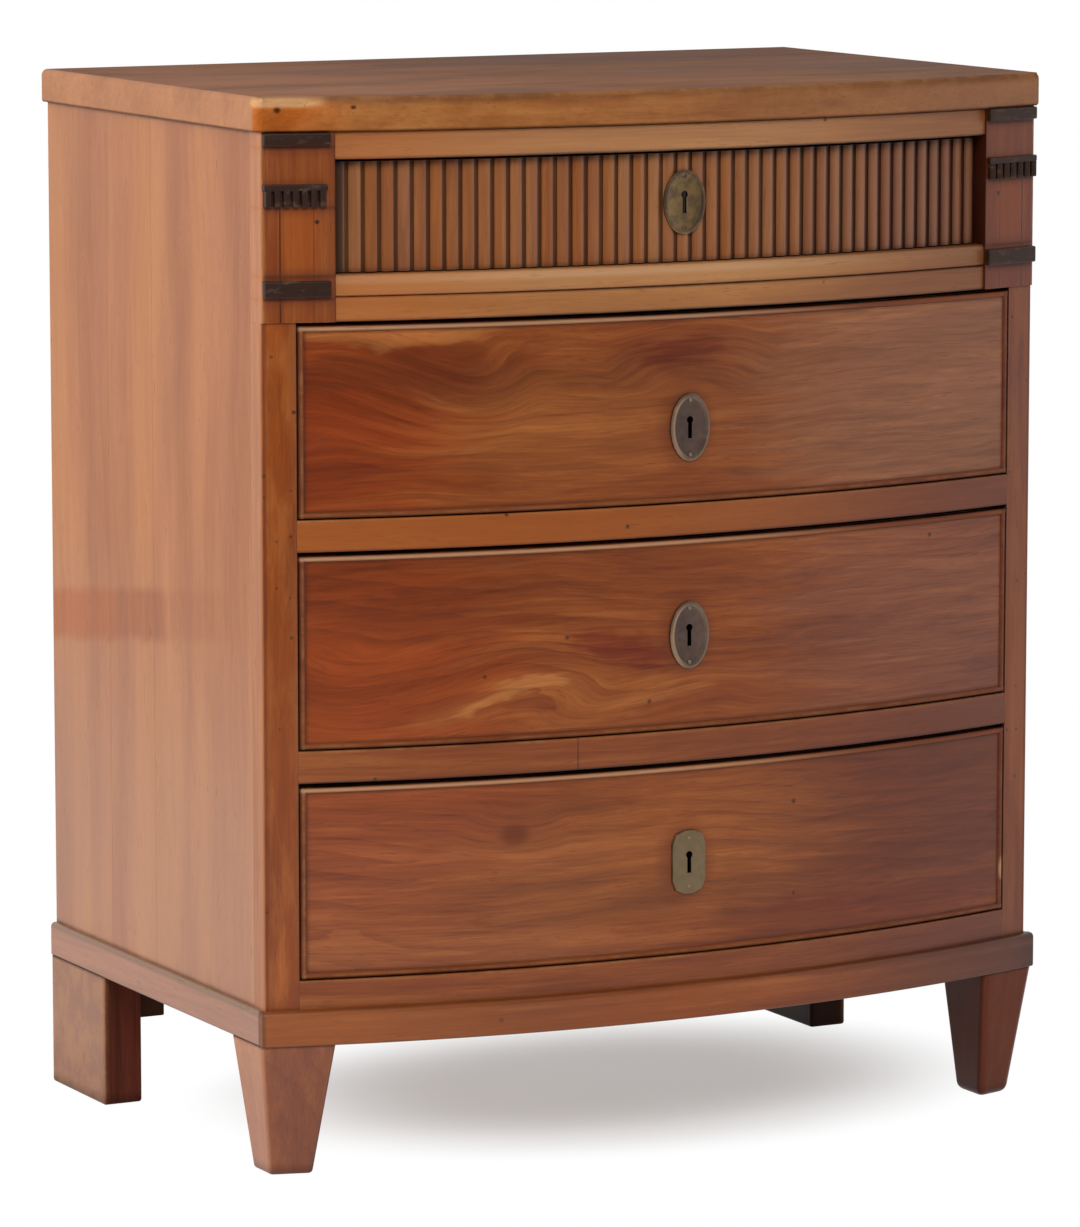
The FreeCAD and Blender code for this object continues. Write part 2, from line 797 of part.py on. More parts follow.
def keyhole(name, key_z, front, rear):
    """A keyhole through the drawer front: a round head over a straight slot."""
    head_level = key_z + size.keyhole_height / 2 - size.keyhole_head / 2
    head = doc.addObject("Part::Cylinder", f"{name}_head")
    bind(head, "Radius", size.keyhole_head / 2)
    bind(head, "Height", rear - front)
    head.Placement.Rotation = FreeCAD.Rotation(FreeCAD.Vector(1, 0, 0), 90)
    place(head, ZERO, rear, head_level)
    reach = size.keyhole_slot / 2
    slot = box(f"{name}_slot", (-reach, reach), (front, rear), (key_z - size.keyhole_height / 2, head_level))
    fused = doc.addObject("Part::Fuse", name)
    fused.Base = head
    fused.Tool = slot
    return fused


def oval(sketch, width, height):
    """An upright oval round the sketch's origin: a tight arc at each end and a flat arc along each side."""
    end_radius = size.oval_end_share * width / 2
    end_centre = height / 2 - end_radius
    spare = width / 2 - end_radius
    side_centre = (end_centre * end_centre - spare * spare) / (2 * spare)
    side_radius = side_centre + width / 2
    share = end_radius / (side_radius - end_radius)
    joint_x = share * side_centre
    joint_z = end_centre + share * end_centre
    turn = math.atan2(end_centre.value, side_centre.value)
    upright = math.pi / 2
    for x, z, radius, start, end, joint in (
        (ZERO, end_centre, end_radius, turn, 2 * upright - turn, (joint_x, joint_z)),
        (side_centre, ZERO, side_radius, 2 * upright - turn, 2 * upright + turn, (-joint_x, joint_z)),
        (ZERO, -end_centre, end_radius, 2 * upright + turn, 4 * upright - turn, (-joint_x, -joint_z)),
        (-side_centre, ZERO, side_radius, -turn, turn, (joint_x, -joint_z)),
    ):
        circle = Part.Circle(FreeCAD.Vector(x.value, z.value, 0), FreeCAD.Vector(0, 0, 1), radius.value)
        curve = sketch.addGeometry(Part.ArcOfCircle(circle, start, end), False)
        hold(sketch, curve, 1, *joint)
        bind_constraint(sketch, radius, "Radius", curve)
    for curve in range(4):
        join(sketch, curve, 2, (curve + 1) % 4, 1)


def oblong(sketch, width, height):
    """An upright oblong with cut corners round the sketch's origin."""
    side = width / 2
    end = height / 2
    inset = side - size.oblong_corner_width
    shoulder = end - size.oblong_corner_height
    quarter = [(side, shoulder), (inset, end)]
    half = quarter + [(-x, z) for x, z in reversed(quarter)]
    polygon(sketch, half + [(-x, -z) for x, z in half])


def make_plate(label, outline, width, height, key_z, radius, hole):
    """A lock plate on the front's foremost line, with its keyhole, and a bevelled rim if it is oblong."""
    body = doc.addObject("PartDesign::Body", f"{label}_blank")
    place(body, ZERO, bow_axis_y - radius, key_z)
    face = sketch_in(body, f"{label}_face", plane="XZ_Plane")
    outline(face, width, height)
    feature = pad(body, face, size.plate_thickness)

    def rim(edge):
        return all(abs(vertex.Y + size.plate_thickness.value) < NEAR for vertex in edge.Vertexes)

    if outline is oblong:
        bevel_edges(body, feature, size.plate_bevel, rim)
    return keep(label, cut(label, body, [hole]))


def make_lock(name, key_z, top, radius):
    """A lock let into the back of a drawer front: its case and the bolt that slides up out of it."""
    rear = bow_axis_y - radius
    front = rear - size.lock_thickness
    middle = rear - size.lock_thickness / 2
    half = size.lock_width / 2
    blank = box(f"{name}_lock_blank", (-half, half), (front, rear), (key_z - size.lock_below_key, top))
    bolt_low = key_z + size.keyhole_height / 2 + size.bolt_above_keyhole
    bolt_top = top - size.bolt_top_drop
    foot_top = bolt_low + size.bolt_foot_height
    thin = size.bolt_thickness / 2
    gap = size.bolt_clearance

    def across(width, margin):
        return (-(width / 2) - margin, width / 2 + margin)

    depth = (middle - thin, middle + thin)
    loose = (middle - thin - gap, middle + thin + gap)
    shank = box(f"{name}_bolt_shank", across(size.bolt_width, ZERO), depth, (foot_top, bolt_top))
    foot = box(f"{name}_bolt_foot", across(size.bolt_foot_width, ZERO), depth, (bolt_low, foot_top))
    bolt = doc.addObject("Part::Fuse", f"{name}_lock_bolt")
    bolt.Base = shank
    bolt.Tool = foot
    channel_top = foot_top + size.bolt_travel + gap
    slot = box(f"{name}_bolt_slot", across(size.bolt_width, gap), loose, (bolt_low, top + size.overrun))
    wide = across(size.bolt_foot_width, gap)
    channel = box(f"{name}_bolt_channel", wide, loose, (bolt_low - gap, channel_top))
    head = size.keyhole_head / 2
    key_half = size.keyhole_height / 2
    key_depth = (front - size.overrun, front + size.lock_key_depth)
    pocket = box(f"{name}_key_pocket", (-head, head), key_depth, (key_z - key_half, key_z + key_half))
    keep(f"{name}_lock_case", cut(f"{name}_lock_case", blank, [slot, channel, pocket]))
    keep(f"{name}_lock_bolt", bolt)
    return blank


# Drawers

def add_tails(body, name, shoulder, tip, low, high, count):
    """A row of dovetails on one end of a drawer side."""
    neck = size.dovetail_neck / 2
    flare = neck + size.dovetail_flare
    first = low + size.dovetail_margin
    tail = sketch_in(body, name, plane="YZ_Plane")
    lower_edge = [(shoulder, first - neck), (tip, first - flare)]
    upper_edge = [(tip, first + flare), (shoulder, first + neck)]
    polygon(tail, lower_edge + upper_edge)
    feature = pad(body, tail, size.drawer_side_thickness)
    row = body.newObject("PartDesign::LinearPattern", f"{name}_row")
    row.Originals = [feature]
    row.Direction = (tail, ["V_Axis"])
    bind(row, "Length", high - low - 2 * size.dovetail_margin)
    bind(row, "Occurrences", count)
    body.Tip = row


def make_box(name, floor, front_high, half, radius, tails):
    """A drawer's sides, back and bottom: dovetailed at the corners, with the bottom in grooves."""
    low = floor + size.running_clearance
    side_top = front_high - size.drawer_side_drop
    back_top = side_top - size.drawer_back_drop
    panel_low = low + size.drawer_bottom_height
    panel_top = panel_low + size.drawer_bottom_thickness
    inside = half - size.drawer_side_thickness
    shoulder = bow_axis_y - root(radius * radius - inside * inside)
    rear = back_front_y - size.drawer_rear_gap
    rear_shoulder = rear - size.drawer_back_thickness
    reach = inside + size.groove_depth
    bottom, _ = bowed_board(
        f"{name}_drawer_bottom", panel_low, panel_top, radius + size.groove_depth, -reach, reach, back=rear
    )
    keep(f"{name}_drawer_bottom", bottom)
    sides = []
    for side, start in (("left", -half), ("right", inside)):
        body = doc.addObject("PartDesign::Body", f"{name}_{side}_blank")
        place(body, start, ZERO, ZERO)
        board = sketch_in(body, f"{name}_{side}_board", plane="YZ_Plane")
        ends = [(shoulder, low), (rear_shoulder, low), (rear_shoulder, side_top), (shoulder, side_top)]
        polygon(board, ends)
        pad(body, board, size.drawer_side_thickness)
        tip = shoulder - size.dovetail_length
        add_tails(body, f"{name}_{side}_front_tail", shoulder, tip, low, side_top, tails)
        add_tails(body, f"{name}_{side}_rear_tail", rear_shoulder, rear, panel_top, back_top, tails)
        sides.append(cut(f"{name}_{side}_side", body, [bottom]))
    keep(f"{name}_drawer_sides", group(f"{name}_drawer_sides", sides))
    back = box(f"{name}_back_blank", (-half, half), (rear_shoulder, rear), (panel_top, back_top))
    keep(f"{name}_drawer_back", cut(f"{name}_drawer_back", back, sides))
    return sides + [bottom]


def make_beads(name, low, high, half, face):
    """The bead let in round a drawer front: along the top and bottom, and up each end."""
    outer = face + size.bead_projection
    inner = face - size.bead_depth
    width = size.bead_width
    beads = []
    for part, bead_low, bead_high, left, right in (
        ("top", high - width, high, -half, half),
        ("bottom", low, low + width, -half, half),
        ("left", low + width, high - width, -half, width - half),
        ("right", low + width, high - width, half - width, half),
    ):
        body, _ = bowed_board(f"{name}_{part}_bead", bead_low, bead_high, outer, left, right, inner)
        beads.append(body)
    keep(f"{name}_drawer_beads", group(f"{name}_drawer_beads", beads))
    return beads


def make_drawer(name, floor, ceiling, key_drop, plate):
    """A drawer behind a plain bowed front with a bead, a lock and a lock plate."""
    low = floor + size.drawer_bottom_gap
    high = ceiling - size.drawer_top_gap
    half = half_opening - size.drawer_side_gap
    face = bow_radius - size.front_setback
    key_z = ceiling - key_drop
    rear = bow_axis_y - front_inner
    plank, _ = bowed_board(f"{name}_plank", low, high, face, -half, half, front_inner)
    beads = make_beads(name, low, high, half, face)
    frame = make_box(name, floor, high, half, front_inner, size.dovetail_count)
    hole_front = bow_axis_y - face - size.plate_thickness - size.overrun
    hole_rear = rear - size.lock_thickness + size.overrun
    hole = keyhole(f"{name}_keyhole", key_z, hole_front, hole_rear)
    lock = make_lock(name, key_z, high, front_inner)
    keep(f"{name}_drawer_front", cut(f"{name}_drawer_front", plank, beads + frame + [lock, hole]))
    make_plate(f"{name}_lock_plate", *plate, key_z, face, hole)


def make_reeded_front(low, high, half):
    """The reeded facing: a thin bowed backing with rounded reeds side by side all along it."""
    root_radius = core_outer + size.reed_backing
    label = "reeded_facing"
    body, feature = bowed_board(f"{label}_blank", low, high, root_radius, -half, half, core_outer)
    half_sweep = arc_angle(half, root_radius)
    pitch = half_sweep * 2 / size.reed_count
    width = half * 2 / size.reed_count - size.reed_gap
    side = width / 2
    base = -(root_radius - size.reed_root)
    shoulder = -(root_radius + size.reed_side)
    crown = width * width / (8 * size.reed_crown) + size.reed_crown / 2
    reed = sketch_in(body, "reed")
    reed.AttachmentOffset.Rotation = FreeCAD.Rotation(FreeCAD.Vector(0, 0, 1), 1)
    bind(reed, "AttachmentOffset.Rotation.Angle", pitch / 2 - half_sweep)
    corners = [
        FreeCAD.Vector(x, y, 0)
        for x, y in (
            (-side.value, shoulder.value),
            (-side.value, base.value),
            (side.value, base.value),
            (side.value, shoulder.value),
        )
    ]
    for start, end in zip(corners, corners[1:]):
        reed.addGeometry(Part.LineSegment(start, end), False)
    crest = FreeCAD.Vector(0, shoulder.value - size.reed_crown.value, 0)
    reed.addGeometry(Part.Arc(corners[0], crest, corners[3]), False)
    for index in (0, 1):
        join(reed, index, 2, index + 1, 1)
    hold(reed, 0, 1, -side, shoulder)
    hold(reed, 0, 2, -side, base)
    hold(reed, 1, 2, side, base)
    hold(reed, 2, 2, side, shoulder)
    join(reed, 3, 1, 0, 1)
    join(reed, 3, 2, 2, 2)
    bind_constraint(reed, crown, "Radius", 3)
    first = pad(body, reed, high - low)
    repeat_round_axis(body, first, pitch * (size.reed_count - 1), size.reed_count)
    return body


def make_frieze_drawer():
    """The shallow drawer behind the reeded front."""
    name = "frieze"
    low = frieze_floor + size.drawer_bottom_gap
    high = frieze_ceiling - size.drawer_top_gap
    half = half_frieze - size.frieze_side_gap
    face = core_outer + size.reed_backing + size.reed_side + size.reed_crown
    key_z = frieze_ceiling - size.frieze_key_drop
    rear = bow_axis_y - core_inner
    core, _ = bowed_board("frieze_core", low, high, core_outer, -half, half, core_inner)
    frame = make_box(name, frieze_floor, high, half, core_inner, size.frieze_dovetail_count)
    hole_front = bow_axis_y - face - size.plate_thickness - size.overrun
    hole_rear = rear - size.lock_thickness + size.overrun
    hole = keyhole(f"{name}_keyhole", key_z, hole_front, hole_rear)
    lock = make_lock(name, key_z, high, core_inner)
    keep(f"{name}_drawer_front", cut(f"{name}_drawer_front", core, frame + [lock, hole]))
    facing = make_reeded_front(low, high, half)
    keep("reeded_facing", cut("reeded_facing", facing, [hole]))
    plate = (oval, size.frieze_plate_width, size.frieze_plate_height)
    make_plate(f"{name}_lock_plate", *plate, key_z, face, hole)


def make_chest():
    """Every sub-part of the chest."""
    make_top_board()
    rails = make_rails()
    make_frieze_moulding()
    make_uprights(rails)
    make_bands()
    make_side_panels(make_bottom_board())
    make_back_boards()
    make_plinth()
    make_front_feet()
    make_rear_feet()
    make_glue_blocks()
    make_runners()
    make_stops()
    make_frieze_drawer()
    oval_plate = (oval, size.oval_plate_width, size.oval_plate_height)
    oblong_plate = (oblong, size.oblong_plate_width, size.oblong_plate_height)
    make_drawer("upper", upper_floor, upper_ceiling, size.upper_key_drop, oval_plate)
    make_drawer("middle", middle_floor, middle_ceiling, size.middle_key_drop, oval_plate)
    make_drawer("lower", lower_floor, lower_ceiling, size.lower_key_drop, oblong_plate)


def check_document():
    """Stop if any object failed or any sub-part is not a sound solid."""
    failed = [item.Name for item in doc.Objects if {"Invalid", "Error"} & set(item.State)]
    if failed:
        raise RuntimeError(f"objects failed: {failed}")
    for label, part in nodes.items():
        if part.Shape.isNull() or not part.Shape.isValid() or not part.Shape.Solids:
            raise RuntimeError(f"{label} is not a sound solid")


make_chest()
doc.recompute()
check_document()
os.makedirs("parts", exist_ok=True)
for label, part in nodes.items():
    part.Shape.exportStep(f"parts/{label}.step")
print(len(nodes), "sub-parts")
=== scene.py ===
import math

import bmesh
import bpy
from bpy.props import FloatProperty, FloatVectorProperty, IntProperty, PointerProperty
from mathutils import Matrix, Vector


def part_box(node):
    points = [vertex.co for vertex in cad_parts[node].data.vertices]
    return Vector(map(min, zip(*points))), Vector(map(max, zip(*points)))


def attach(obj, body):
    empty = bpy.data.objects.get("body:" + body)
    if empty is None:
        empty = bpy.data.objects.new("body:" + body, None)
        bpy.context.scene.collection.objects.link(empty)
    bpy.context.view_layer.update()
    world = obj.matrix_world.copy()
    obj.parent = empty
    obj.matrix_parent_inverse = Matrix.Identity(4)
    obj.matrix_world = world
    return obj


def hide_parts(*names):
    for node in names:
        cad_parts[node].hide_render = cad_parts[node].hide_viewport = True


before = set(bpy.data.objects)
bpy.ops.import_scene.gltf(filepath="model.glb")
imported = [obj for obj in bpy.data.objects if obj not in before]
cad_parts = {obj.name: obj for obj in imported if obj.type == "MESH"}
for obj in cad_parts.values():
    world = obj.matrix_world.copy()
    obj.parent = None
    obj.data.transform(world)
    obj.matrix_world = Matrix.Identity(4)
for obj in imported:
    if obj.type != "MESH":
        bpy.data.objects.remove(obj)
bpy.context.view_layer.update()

bl_info = {
    "name": "Bow front chest of drawers",
    "version": (1, 0, 0),
    "blender": (4, 5, 0),
    "location": "View3D > Sidebar > Chest",
    "description": "Models and finishes the visible pieces of a bow front chest of drawers",
    "category": "Object",
}

# Places that follow from the frame
TOP_LOW, TOP_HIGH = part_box("top_board")
TOP_OVERHANG = 0.005
BOW_RADIUS = 1.111538
TOP_RADIUS = BOW_RADIUS + TOP_OVERHANG
BLOCK_FACE = BOW_RADIUS + 0.002
BEAD_CREST = BOW_RADIUS + 0.0005
AXIS_Y = TOP_LOW.y + BOW_RADIUS + TOP_OVERHANG
PLINTH_LOW, PLINTH_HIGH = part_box("front_plinth")
HALF_CASE = -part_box("left_stile")[0].x
HALF_OPENING = -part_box("left_stile")[1].x
HALF_FRIEZE = -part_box("left_frieze_block")[1].x
STILE_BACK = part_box("left_stile")[1].y
RAIL_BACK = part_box("top_rail")[1].y
DEEP_DRAWERS = ("upper", "middle", "lower")
DRAWERS = ("frieze",) + DEEP_DRAWERS
SIDES = (("left", -1), ("right", 1))


def tint(code):
    """A linear colour from a six-digit screen colour."""
    parts = [int(code[i:i + 2], 16) / 255 for i in (0, 2, 4)]
    return tuple(p / 12.92 if p <= 0.04045 else ((p + 0.055) / 1.055) ** 2.4 for p in parts)


def length(description, default):
    return FloatProperty(description=description, default=default, min=0.0, unit="LENGTH", precision=5)


def colour(description, code):
    return FloatVectorProperty(description=description, default=tint(code), subtype="COLOR", min=0, max=1)


class ChestSizes(bpy.types.PropertyGroup):
    """Sizes of edges, beads, reeds and plates."""

    top_corner: length("Rounding of the top's front corners", 0.006)
    top_upper: length("Rounding of the top's upper edge", 0.005)
    top_lower: length("Rounding of the top's lower edge", 0.002)
    rail_edge: length("Rounding of a rail's front edges", 0.0012)
    case_corner: length("Rounding of the case's front corners", 0.002)
    fine_edge: length("Easing of edges that are only rubbed", 0.0005)
    moulding_edge: length("Rounding of the moulding under the frieze", 0.003)
    plinth_upper: length("Rounding of the plinth's upper edge", 0.0035)
    plinth_lower: length("Rounding of the plinth's lower edge", 0.0016)
    band_projection: length("How far a black band stands out from its block", 0.005)
    band_edge: length("Rounding of a black band's edges", 0.0013)
    tooth_width: length("Width of a tooth in the toothed bands", 0.0048)
    tooth_height: length("Height of a tooth in the toothed bands", 0.012)
    bead_width: length("Width of the bead round a drawer front", 0.005)
    reed_gap: length("Width of the groove between two reeds", 0.0032)
    reed_crown: length("How far a reed's middle stands above its sides", 0.0016)
    reed_backing: length("Thickness of the board behind the reeds", 0.0026)
    plate_rim: length("Width of the raised rim of a lock plate", 0.0026)
    plate_dish: length("How far a lock plate is hollowed", 0.0011)
    pin_radius: length("Radius of the pins that hold a lock plate", 0.0021)
    teeth: IntProperty(description="Teeth in each toothed band", default=7, min=2)
    reeds: IntProperty(description="Reeds on the frieze drawer", default=45, min=2)


class ChestColours(bpy.types.PropertyGroup):
    """Colours of the woods and metals."""

    side_light: colour("Light tone of the side panels", "c28258")
    side_mid: colour("Middle tone of the side panels", "ad6e47")
    side_deep: colour("Deep tone of the side panels", "8e5433")
    top_light: colour("Light tone of the top", "93623d")
    top_mid: colour("Middle tone of the top", "7a4a29")
    top_deep: colour("Deep tone of the top", "5a321b")
    gold_light: colour("Light tone of the rubbed rails", "c8874a")
    gold_mid: colour("Middle tone of the rubbed rails", "ac6a35")
    gold_deep: colour("Deep tone of the rubbed rails", "874b22")
    front_light: colour("Light tone of the drawer fronts", "b4692f")
    front_mid: colour("Middle tone of the drawer fronts", "924a1d")
    front_deep: colour("Deep tone of the drawer fronts", "6b2c0e")
    amber: colour("Bright orange of rubbed corners and rails", "be5f14")
    front_red: colour("Red cloud in the drawer fronts", "6e2008")
    ember: colour("Orange red of the fronts' left ends", "9c3f0b")
    # The plum colour is also painted shade: on the right-hand ends of the rails, plinth, reeds and beads, on the right
    # stile and block, on the lower drawer's right end and on the rear left foot.
    plum: colour("Dark purple of the fronts' right ends", "5e2a1e")
    # The worn colour is bare wood on rubbed edges, and also painted highlight on the top's front left corner and on the
    # crests of the beads.
    worn: colour("Bare wood on rubbed edges", "d39a63")
    # The cream colour is also painted highlight: on the top's front left corner, the moulding's upper edge, the beads'
    # crests and the plates' rims, and painted sheen at the right end of the top's edge.
    cream: colour("Palest rubbed wood, as on the beads", "d9ad84")
    # The faded colour is greyed wood of the sides, plinth and feet, and also painted sheen on the right-hand ends of
    # the top's edge, the reeds and the drawer fronts, and on the plates' right halves.
    faded: colour("Greyed wood of the sides, the plinth and the feet", "8d6c62")
    dust: colour("Dust and old wax on ledges", "806049")
    # The dark colour is painted shade on the feet, the plinth's right end, the reeds' sides and the frieze plate, and
    # is also the wood's own dark blotches on the top and the back boards.
    dark: colour("Dark brown of faces in shade", "3a1a12")
    # The gap colour is painted shade: the black of the gaps over the drawers, also put on the edges beside them, behind
    # the keyholes, on the blocks' inner faces, on the first reed and on the rear right foot.
    gap: colour("Black of the gaps over the drawers", "080302")
    # The grime colour is old polish and dirt in joints and dents, and also painted shade in the reeds' grooves, under
    # edges, on the glue blocks and on the rear right foot.
    grime: colour("Old polish and dirt in corners", "23100a")
    black: colour("Black stained wood of the bands", "351f16")
    black_rubbed: colour("Rubbed places of the black bands", "6a5040")
    pale_light: colour("Light tone of the bare drawer wood", "cfa678")
    pale_mid: colour("Middle tone of the bare drawer wood", "b38658")
    pale_deep: colour("Deep tone of the bare drawer wood", "8f633b")
    brass: colour("Rubbed brass", "8d7a62")
    brass_dull: colour("Tarnished brass", "5f4e49")
    brass_green: colour("Brass gone brown and green", "957a52")
    brass_olive: colour("Brass gone olive", "6f5d42")
    iron: colour("Old iron", "4a4643")
    rust: colour("Rust on the iron", "5b3522")


class ChestStage(bpy.types.PropertyGroup):
    """Camera, lamps and floor."""

    eye: FloatVectorProperty(description="Place of the camera", subtype="TRANSLATION",
                             default=(-2.3327, -4.4645, 1.1224))
    aim: FloatVectorProperty(description="Direction of view", subtype="DIRECTION",
                             default=(0.45609, 0.87822, -0.14389))
    lens: FloatProperty(description="Focal length in millimetres", default=187.58, unit="CAMERA")
    left_power: FloatProperty(description="Power of the lamp on the left", default=100, unit="POWER")
    front_power: FloatProperty(description="Power of the lamp in front", default=135, unit="POWER")
    room: FloatProperty(description="Light from the backdrop and the sides", default=0.55, min=0)
    dim_room: FloatProperty(description="Light from behind the camera", default=0.06, min=0)
    dim_side: FloatVectorProperty(description="Direction of the dim side", subtype="DIRECTION",
                                  default=(-0.75, -0.65, 0.1))
    floor_glow: FloatProperty(description="Share of white in the floor", default=0.4, min=0, max=1)
    floor_radius: length("Radius of the floor", 2.4)


# Modelling by hand

SHARP = math.radians(35)
SMOOTH = math.radians(40)
NEAR = 2e-5
BOW_STEPS = 720


def leave():
    """Go back to object mode."""
    bpy.ops.object.mode_set(mode="OBJECT")


def let_go():
    """Leave edit mode and deselect everything."""
    if bpy.context.object and bpy.context.object.mode != "OBJECT":
        leave()
    bpy.ops.object.select_all(action="DESELECT")


def take(piece):
    """Make a piece the only selected object."""
    let_go()
    piece.select_set(True)
    bpy.context.view_layer.objects.active = piece


def select_all():
    bpy.ops.mesh.select_all(action="SELECT")


def edit(piece):
    """Go into edit mode with all of a piece selected."""
    take(piece)
    bpy.ops.object.mode_set(mode="EDIT")
    select_all()


def pick(piece, kind, wanted):
    """Go into edit mode with those corners or edges of a piece selected that pass a test."""
    edit(piece)
    bpy.context.tool_settings.mesh_select_mode = (kind == "verts", kind == "edges", False)
    bpy.ops.mesh.select_all(action="DESELECT")
    mesh = bmesh.from_edit_mesh(piece.data)
    found = [part for part in getattr(mesh, kind) if wanted(part)]
    for part in found:
        part.select_set(True)
    bmesh.update_edit_mesh(piece.data)
    if not found:
        raise RuntimeError("no %s to pick on %s" % (kind, piece.name))


def named(name, scale=(1, 1, 1)):
    """Name the primitive just added and put its size and place into its mesh."""
    piece = bpy.context.object
    piece.name = piece.data.name = name
    piece.scale = scale
    bpy.ops.object.transform_apply(location=True, rotation=True, scale=True)
    return piece


def block(name, low, high):
    """A square block between two corners."""
    let_go()
    low, high = Vector(low), Vector(high)
    bpy.ops.mesh.primitive_cube_add(size=1, location=(low + high) / 2)
    return named(name, high - low)


def draw_out(*way):
    """Extrude what is selected."""
    bpy.ops.mesh.extrude_region_move(TRANSFORM_OT_translate={"value": way})


def cut_behind(y, fill=False):
    """Cut what is selected at a depth and drop what lies behind it."""
    bpy.ops.mesh.bisect(plane_co=(0, y, 0), plane_no=(0, 1, 0), clear_outer=True, use_fill=fill)


def trim(left, right, fill):
    """Cut the whole piece at two upright planes and drop what lies beyond them."""
    for x, beyond in ((left, "clear_inner"), (right, "clear_outer")):
        select_all()
        bpy.ops.mesh.bisect(plane_co=(x, 0, 0), plane_no=(1, 0, 0), use_fill=fill, **{beyond: True})


def bow_line(name, radius, left, right, level):
    """The bow's front line at a level, in edit mode."""
    let_go()
    place = (0, AXIS_Y, level)
    bpy.ops.mesh.primitive_circle_add(vertices=BOW_STEPS, radius=radius, fill_type="NOTHING", location=place)
    piece = named(name)
    edit(piece)
    cut_behind(AXIS_Y)
    trim(left, right, False)
    select_all()
    return piece


def raise_up(height):
    """Extrude the whole outline upwards and turn its faces outwards."""
    select_all()
    draw_out(0, 0, height)
    select_all()
    bpy.ops.mesh.normals_make_consistent(inside=False)


def bowed_board(name, radius, left, right, back, low, high):
    """A board with a bowed front and a straight back."""
    piece = bow_line(name, radius, left, right, low)
    draw_out(0, 0.1, 0)
    bpy.ops.transform.resize(value=(1, 0, 1), center_override=(0, back, 0))
    raise_up(high - low)
    leave()
    return piece


def bowed_strip(name, radius, thickness, left, right, low, high):
    """A strip of even thickness that follows the bow, cut square at its ends."""
    spare = 0.02
    piece = bow_line(name, radius, left - spare, right + spare, low)
    share = (radius - thickness) / radius
    draw_out(0, 0, 0)
    bpy.ops.transform.resize(value=(share, share, 1), center_override=(0, AXIS_Y, low))
    raise_up(high - low)
    trim(left, right, True)
    leave()
    return piece


def ease(piece, size, steps=3, wanted=lambda edge: True):
    """Round the sharp edges of a piece that pass a test."""
    pick(piece, "edges", lambda edge: (
        len(edge.link_faces) == 2 and edge.calc_face_angle(0.0) > SHARP and wanted(edge)))
    bpy.ops.mesh.bevel(offset=size, offset_type="OFFSET", segments=steps, profile=0.5, affect="EDGES")
    leave()


def middle(edge):
    return (edge.verts[0].co + edge.verts[1].co) / 2


def upright(edge):
    return abs(edge.verts[0].co.z - edge.verts[1].co.z) > 0.9 * edge.calc_length()


def on_bow(edge, radius):
    return all(abs(math.hypot(v.co.x, v.co.y - AXIS_Y) - radius) < NEAR for v in edge.verts)


def along_bow(radius):
    """A test for the edges that run along the bow."""
    return lambda edge: on_bow(edge, radius) and not upright(edge)


def at_level(edge, level):
    return all(abs(v.co.z - level) < NEAR for v in edge.verts)


def at_depth(edge, depth):
    return all(abs(v.co.y - depth) < NEAR for v in edge.verts)


def cut(piece, tool):
    """Cut one piece with another, which is then thrown away."""
    take(piece)
    change = piece.modifiers.new("cut", "BOOLEAN")
    change.operation = "DIFFERENCE"
    change.solver = "EXACT"
    change.object = tool
    bpy.ops.object.modifier_apply(modifier=change.name)
    bpy.data.objects.remove(tool)


def join(name, pieces):
    """Make several pieces one object."""
    take(pieces[0])
    for piece in pieces[1:]:
        piece.select_set(True)
    bpy.ops.object.join()
    pieces[0].name = pieces[0].data.name = name
    return pieces[0]


def coat(piece, finish):
    """Give a piece its finish."""
    piece.data.materials.clear()
    piece.data.materials.append(finish)


def settle(piece, node, finish, body="case"):
    """Smooth a piece, give it its finish and put it on its body in place of its node."""
    edit(piece)
    bpy.ops.mesh.normals_make_consistent(inside=False)
    leave()
    bpy.ops.object.shade_smooth_by_angle(angle=SMOOTH)
    weigh = piece.modifiers.new("weigh", "WEIGHTED_NORMAL")
    weigh.keep_sharp = True
    bpy.ops.object.modifier_apply(modifier=weigh.name)
    coat(piece, finish)
    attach(piece, body)
    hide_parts(node)


def dress(node, finish):
    """Give a node of the frame its finish."""
    coat(bpy.data.objects[node], finish)


def plate_middle(drawer):
    low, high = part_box(drawer + "_lock_plate")
    return (low + high) / 2


def paint(colour):
    """A colour by its name, or as it is."""
    return getattr(bpy.context.scene.chest_colours, colour) if isinstance(colour, str) else colour


# Finishes

def operation(name, turned=False):
    """A sum of two shader values, or of the second and the first."""
    def made(self, other):
        return self.sum(name, other, self) if turned else self.sum(name, self, other)
    return made


class Amount:
    """A shader value that can be used in sums."""

    def __init__(self, finish, socket):
        self.finish = finish
        self.socket = socket

    def sum(self, name, *values):
        return self.finish.add("Math", {"operation": name}, dict(enumerate(values)))

    __add__ = __radd__ = operation("ADD")
    __sub__ = operation("SUBTRACT")
    __rsub__ = operation("SUBTRACT", True)
    __mul__ = __rmul__ = operation("MULTIPLY")
    __truediv__ = operation("DIVIDE")
    __pow__ = operation("POWER")
    least = operation("MINIMUM")
    most = operation("MAXIMUM")

    def __abs__(self):
        return self.sum("ABSOLUTE", self)

    def floor(self):
        return self.sum("FLOOR", self)


